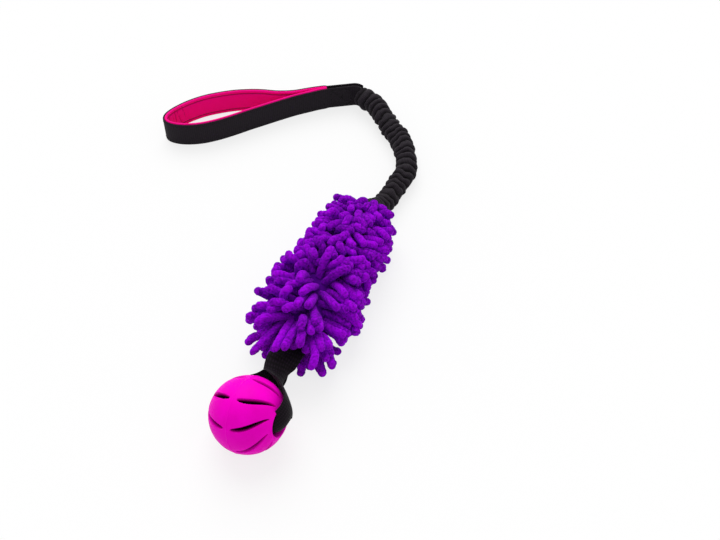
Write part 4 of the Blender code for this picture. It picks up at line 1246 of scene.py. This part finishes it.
# Painted shade in the sunk rows and the tip's creases: the colour goes towards 6A0034 there.
groove_and_crease_shade = add_node(tree, "ShaderNodeAttribute", {"attribute_name": "groove_and_crease_shade"})
pink_with_painted_shade = add_node(
    tree,
    "ShaderNodeMix",
    {"data_type": "RGBA"},
    {"B": linear("6A0034")},
    {"Factor": groove_and_crease_shade.outputs["Fac"], "A": painted_edge_light.outputs["Result"]},
)
tree.links.new(pink_with_painted_shade.outputs["Result"], knit.inputs["Base Color"])
wale_relief = add_node(
    tree, "ShaderNodeBump", inputs={"Strength": 0.4, "Distance": 0.00012}, links={"Height": wales.outputs["Fac"]}
)
tree.links.new(wale_relief.outputs["Normal"], knit.inputs["Normal"])
lining = show("padded_lining", lining_mesh, jersey)
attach(lining, "handle")
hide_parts("handle_lining")


# Stitching of the hand loop
# Bonded nylon thread, sewn by machine: a boxed cross through the stem, three stitches a
# centimetre, and two rows through the band and its lining all round the loop.
STITCH_PITCH = 0.0033
STITCH_LENGTH = 0.0026
STITCH_WIDTH = 0.0009
STITCH_HEIGHT = 0.0004
SUNK_STITCH_HEIGHT = 0.0002


def stitches(name, rows, height):
    """Rounded stitches. Each row gives places, the ways they run and the face's outward ways."""
    all_verts, all_faces = [], []
    rounds, columns = 5, 8
    for places, ways, outs in rows:
        for place_at, way, out in zip(places, ways, outs):
            across = np.cross(way, out)
            start = len(all_verts)
            for i in range(rounds):
                t = -1 + 2 * (i + 0.5) / rounds
                girth = math.sqrt(1 - abs(t) ** 3)
                for j in range(columns):
                    a = 2 * math.pi * j / columns
                    offset = (
                        way * (t * STITCH_LENGTH / 2)
                        + across * (math.cos(a) * STITCH_WIDTH / 2 * girth)
                        + out * (math.sin(a) * height * girth)
                    )
                    all_verts.append(place_at + offset)
            for i in range(rounds - 1):
                for j in range(columns):
                    low, high = start + i * columns, start + (i + 1) * columns
                    following = (j + 1) % columns
                    all_faces.append((low + j, high + j, high + following, low + following))
            all_faces.append(tuple(start + j for j in range(columns)))
            top_ring = start + (rounds - 1) * columns
            all_faces.append(tuple(top_ring + j for j in reversed(range(columns))))
    mesh = bpy.data.meshes.new(name)
    mesh.from_pydata([list(v) for v in all_verts], [], all_faces)
    bm = bmesh.new()
    bm.from_mesh(mesh)
    bmesh.ops.recalc_face_normals(bm, faces=bm.faces)
    bm.to_mesh(mesh)
    bm.free()
    mesh.shade_smooth()
    mesh.transform(stem_frame)
    return mesh


BOX_LENGTH, BOX_WIDTH = 0.020, 0.019
for side, node_name in ((1, "box_stitching_near"), (-1, "box_stitching_far")):
    face_y = stem_line_y + side * (LAYER_OFFSET + BAND_THICKNESS / 2)
    middle_x = stem_straight_x + STEM_LENGTH / 2
    box = [(-1, -1), (1, -1), (1, 1), (-1, 1)]
    spots = [np.array((middle_x + a * BOX_LENGTH / 2, face_y, b * BOX_WIDTH / 2)) for a, b in box]
    rows = []
    for first, second in ((0, 1), (1, 2), (2, 3), (3, 0), (0, 2), (1, 3)):
        span = spots[second] - spots[first]
        run = np.linalg.norm(span)
        count = int(run / STITCH_PITCH)
        places = [spots[first] + span * (k + 0.5) / count for k in range(count)]
        rows.append((places, [span / run] * count, [np.array((0, side, 0.0))] * count))
    box_mesh = stitches(f"boxed_cross_{'near' if side > 0 else 'far'}", rows, STITCH_HEIGHT)
    box_piece = show(box_mesh.name, box_mesh, bonded_thread)
    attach(box_piece, "handle")
    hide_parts(node_name)

loop_run = evenly(smooth_line(loop_points, 9), 700)
loop_travel = travel_along(loop_run)
loop_reach = np.concatenate([[0], np.cumsum(np.linalg.norm(np.diff(loop_run, axis=0), axis=1))])
row_marks = np.arange(0.004, loop_reach[-1] - 0.004, STITCH_PITCH)
row_places = np.stack([np.interp(row_marks, loop_reach, loop_run[:, c]) for c in range(3)], 1)
row_ways = np.stack([np.interp(row_marks, loop_reach, loop_travel[:, c]) for c in range(3)], 1)
row_ways /= np.linalg.norm(row_ways, axis=1)[:, None]
row_outs = np.cross(row_ways, (0, 0, 1))
rows_outside, rows_inside = [], []
for level_side in (-1, 1):
    level = np.array((0, 0, level_side * (LINING_WIDTH / 2 - ROW_FROM_EDGE)))
    outer_places = row_places + row_outs * (BAND_THICKNESS / 2) + level
    rows_outside.append((outer_places, row_ways, row_outs))
    inner_depth = lining_inset + LINING_THICKNESS / 2 - ROW_SINK
    rows_inside.append((row_places - row_outs * inner_depth + level, row_ways, -row_outs))
outside_mesh = stitches("edge_rows_outside", rows_outside, SUNK_STITCH_HEIGHT)
outside_rows = show("edge_rows_outside", outside_mesh, bonded_thread)
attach(outside_rows, "handle")

pink_thread = bpy.data.materials.new("bonded_crimson_thread")
pink_thread.use_nodes = True
tree = pink_thread.node_tree
thread_skin = tree.nodes["Principled BSDF"]
thread_skin.inputs["Roughness"].default_value = 0.5
place = add_node(tree, "ShaderNodeTexCoord")
twist = add_node(
    tree,
    "ShaderNodeTexWave",
    {"bands_direction": "DIAGONAL"},
    {"Scale": 1000 / TWIST_MM / 20 * math.pi, "Distortion": 0.3},
    {"Vector": place.outputs["Object"]},
)
tone = add_node(tree, "ShaderNodeValToRGB", links={"Fac": twist.outputs["Fac"]})
tone.color_ramp.elements[0].color = linear("5E0030")
tone.color_ramp.elements[1].color = linear("8C0048")
tree.links.new(tone.outputs["Color"], thread_skin.inputs["Base Color"])
inside_mesh = stitches("edge_rows_inside", rows_inside, SUNK_STITCH_HEIGHT)
inside_rows = show("edge_rows_inside", inside_mesh, pink_thread)
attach(inside_rows, "handle")
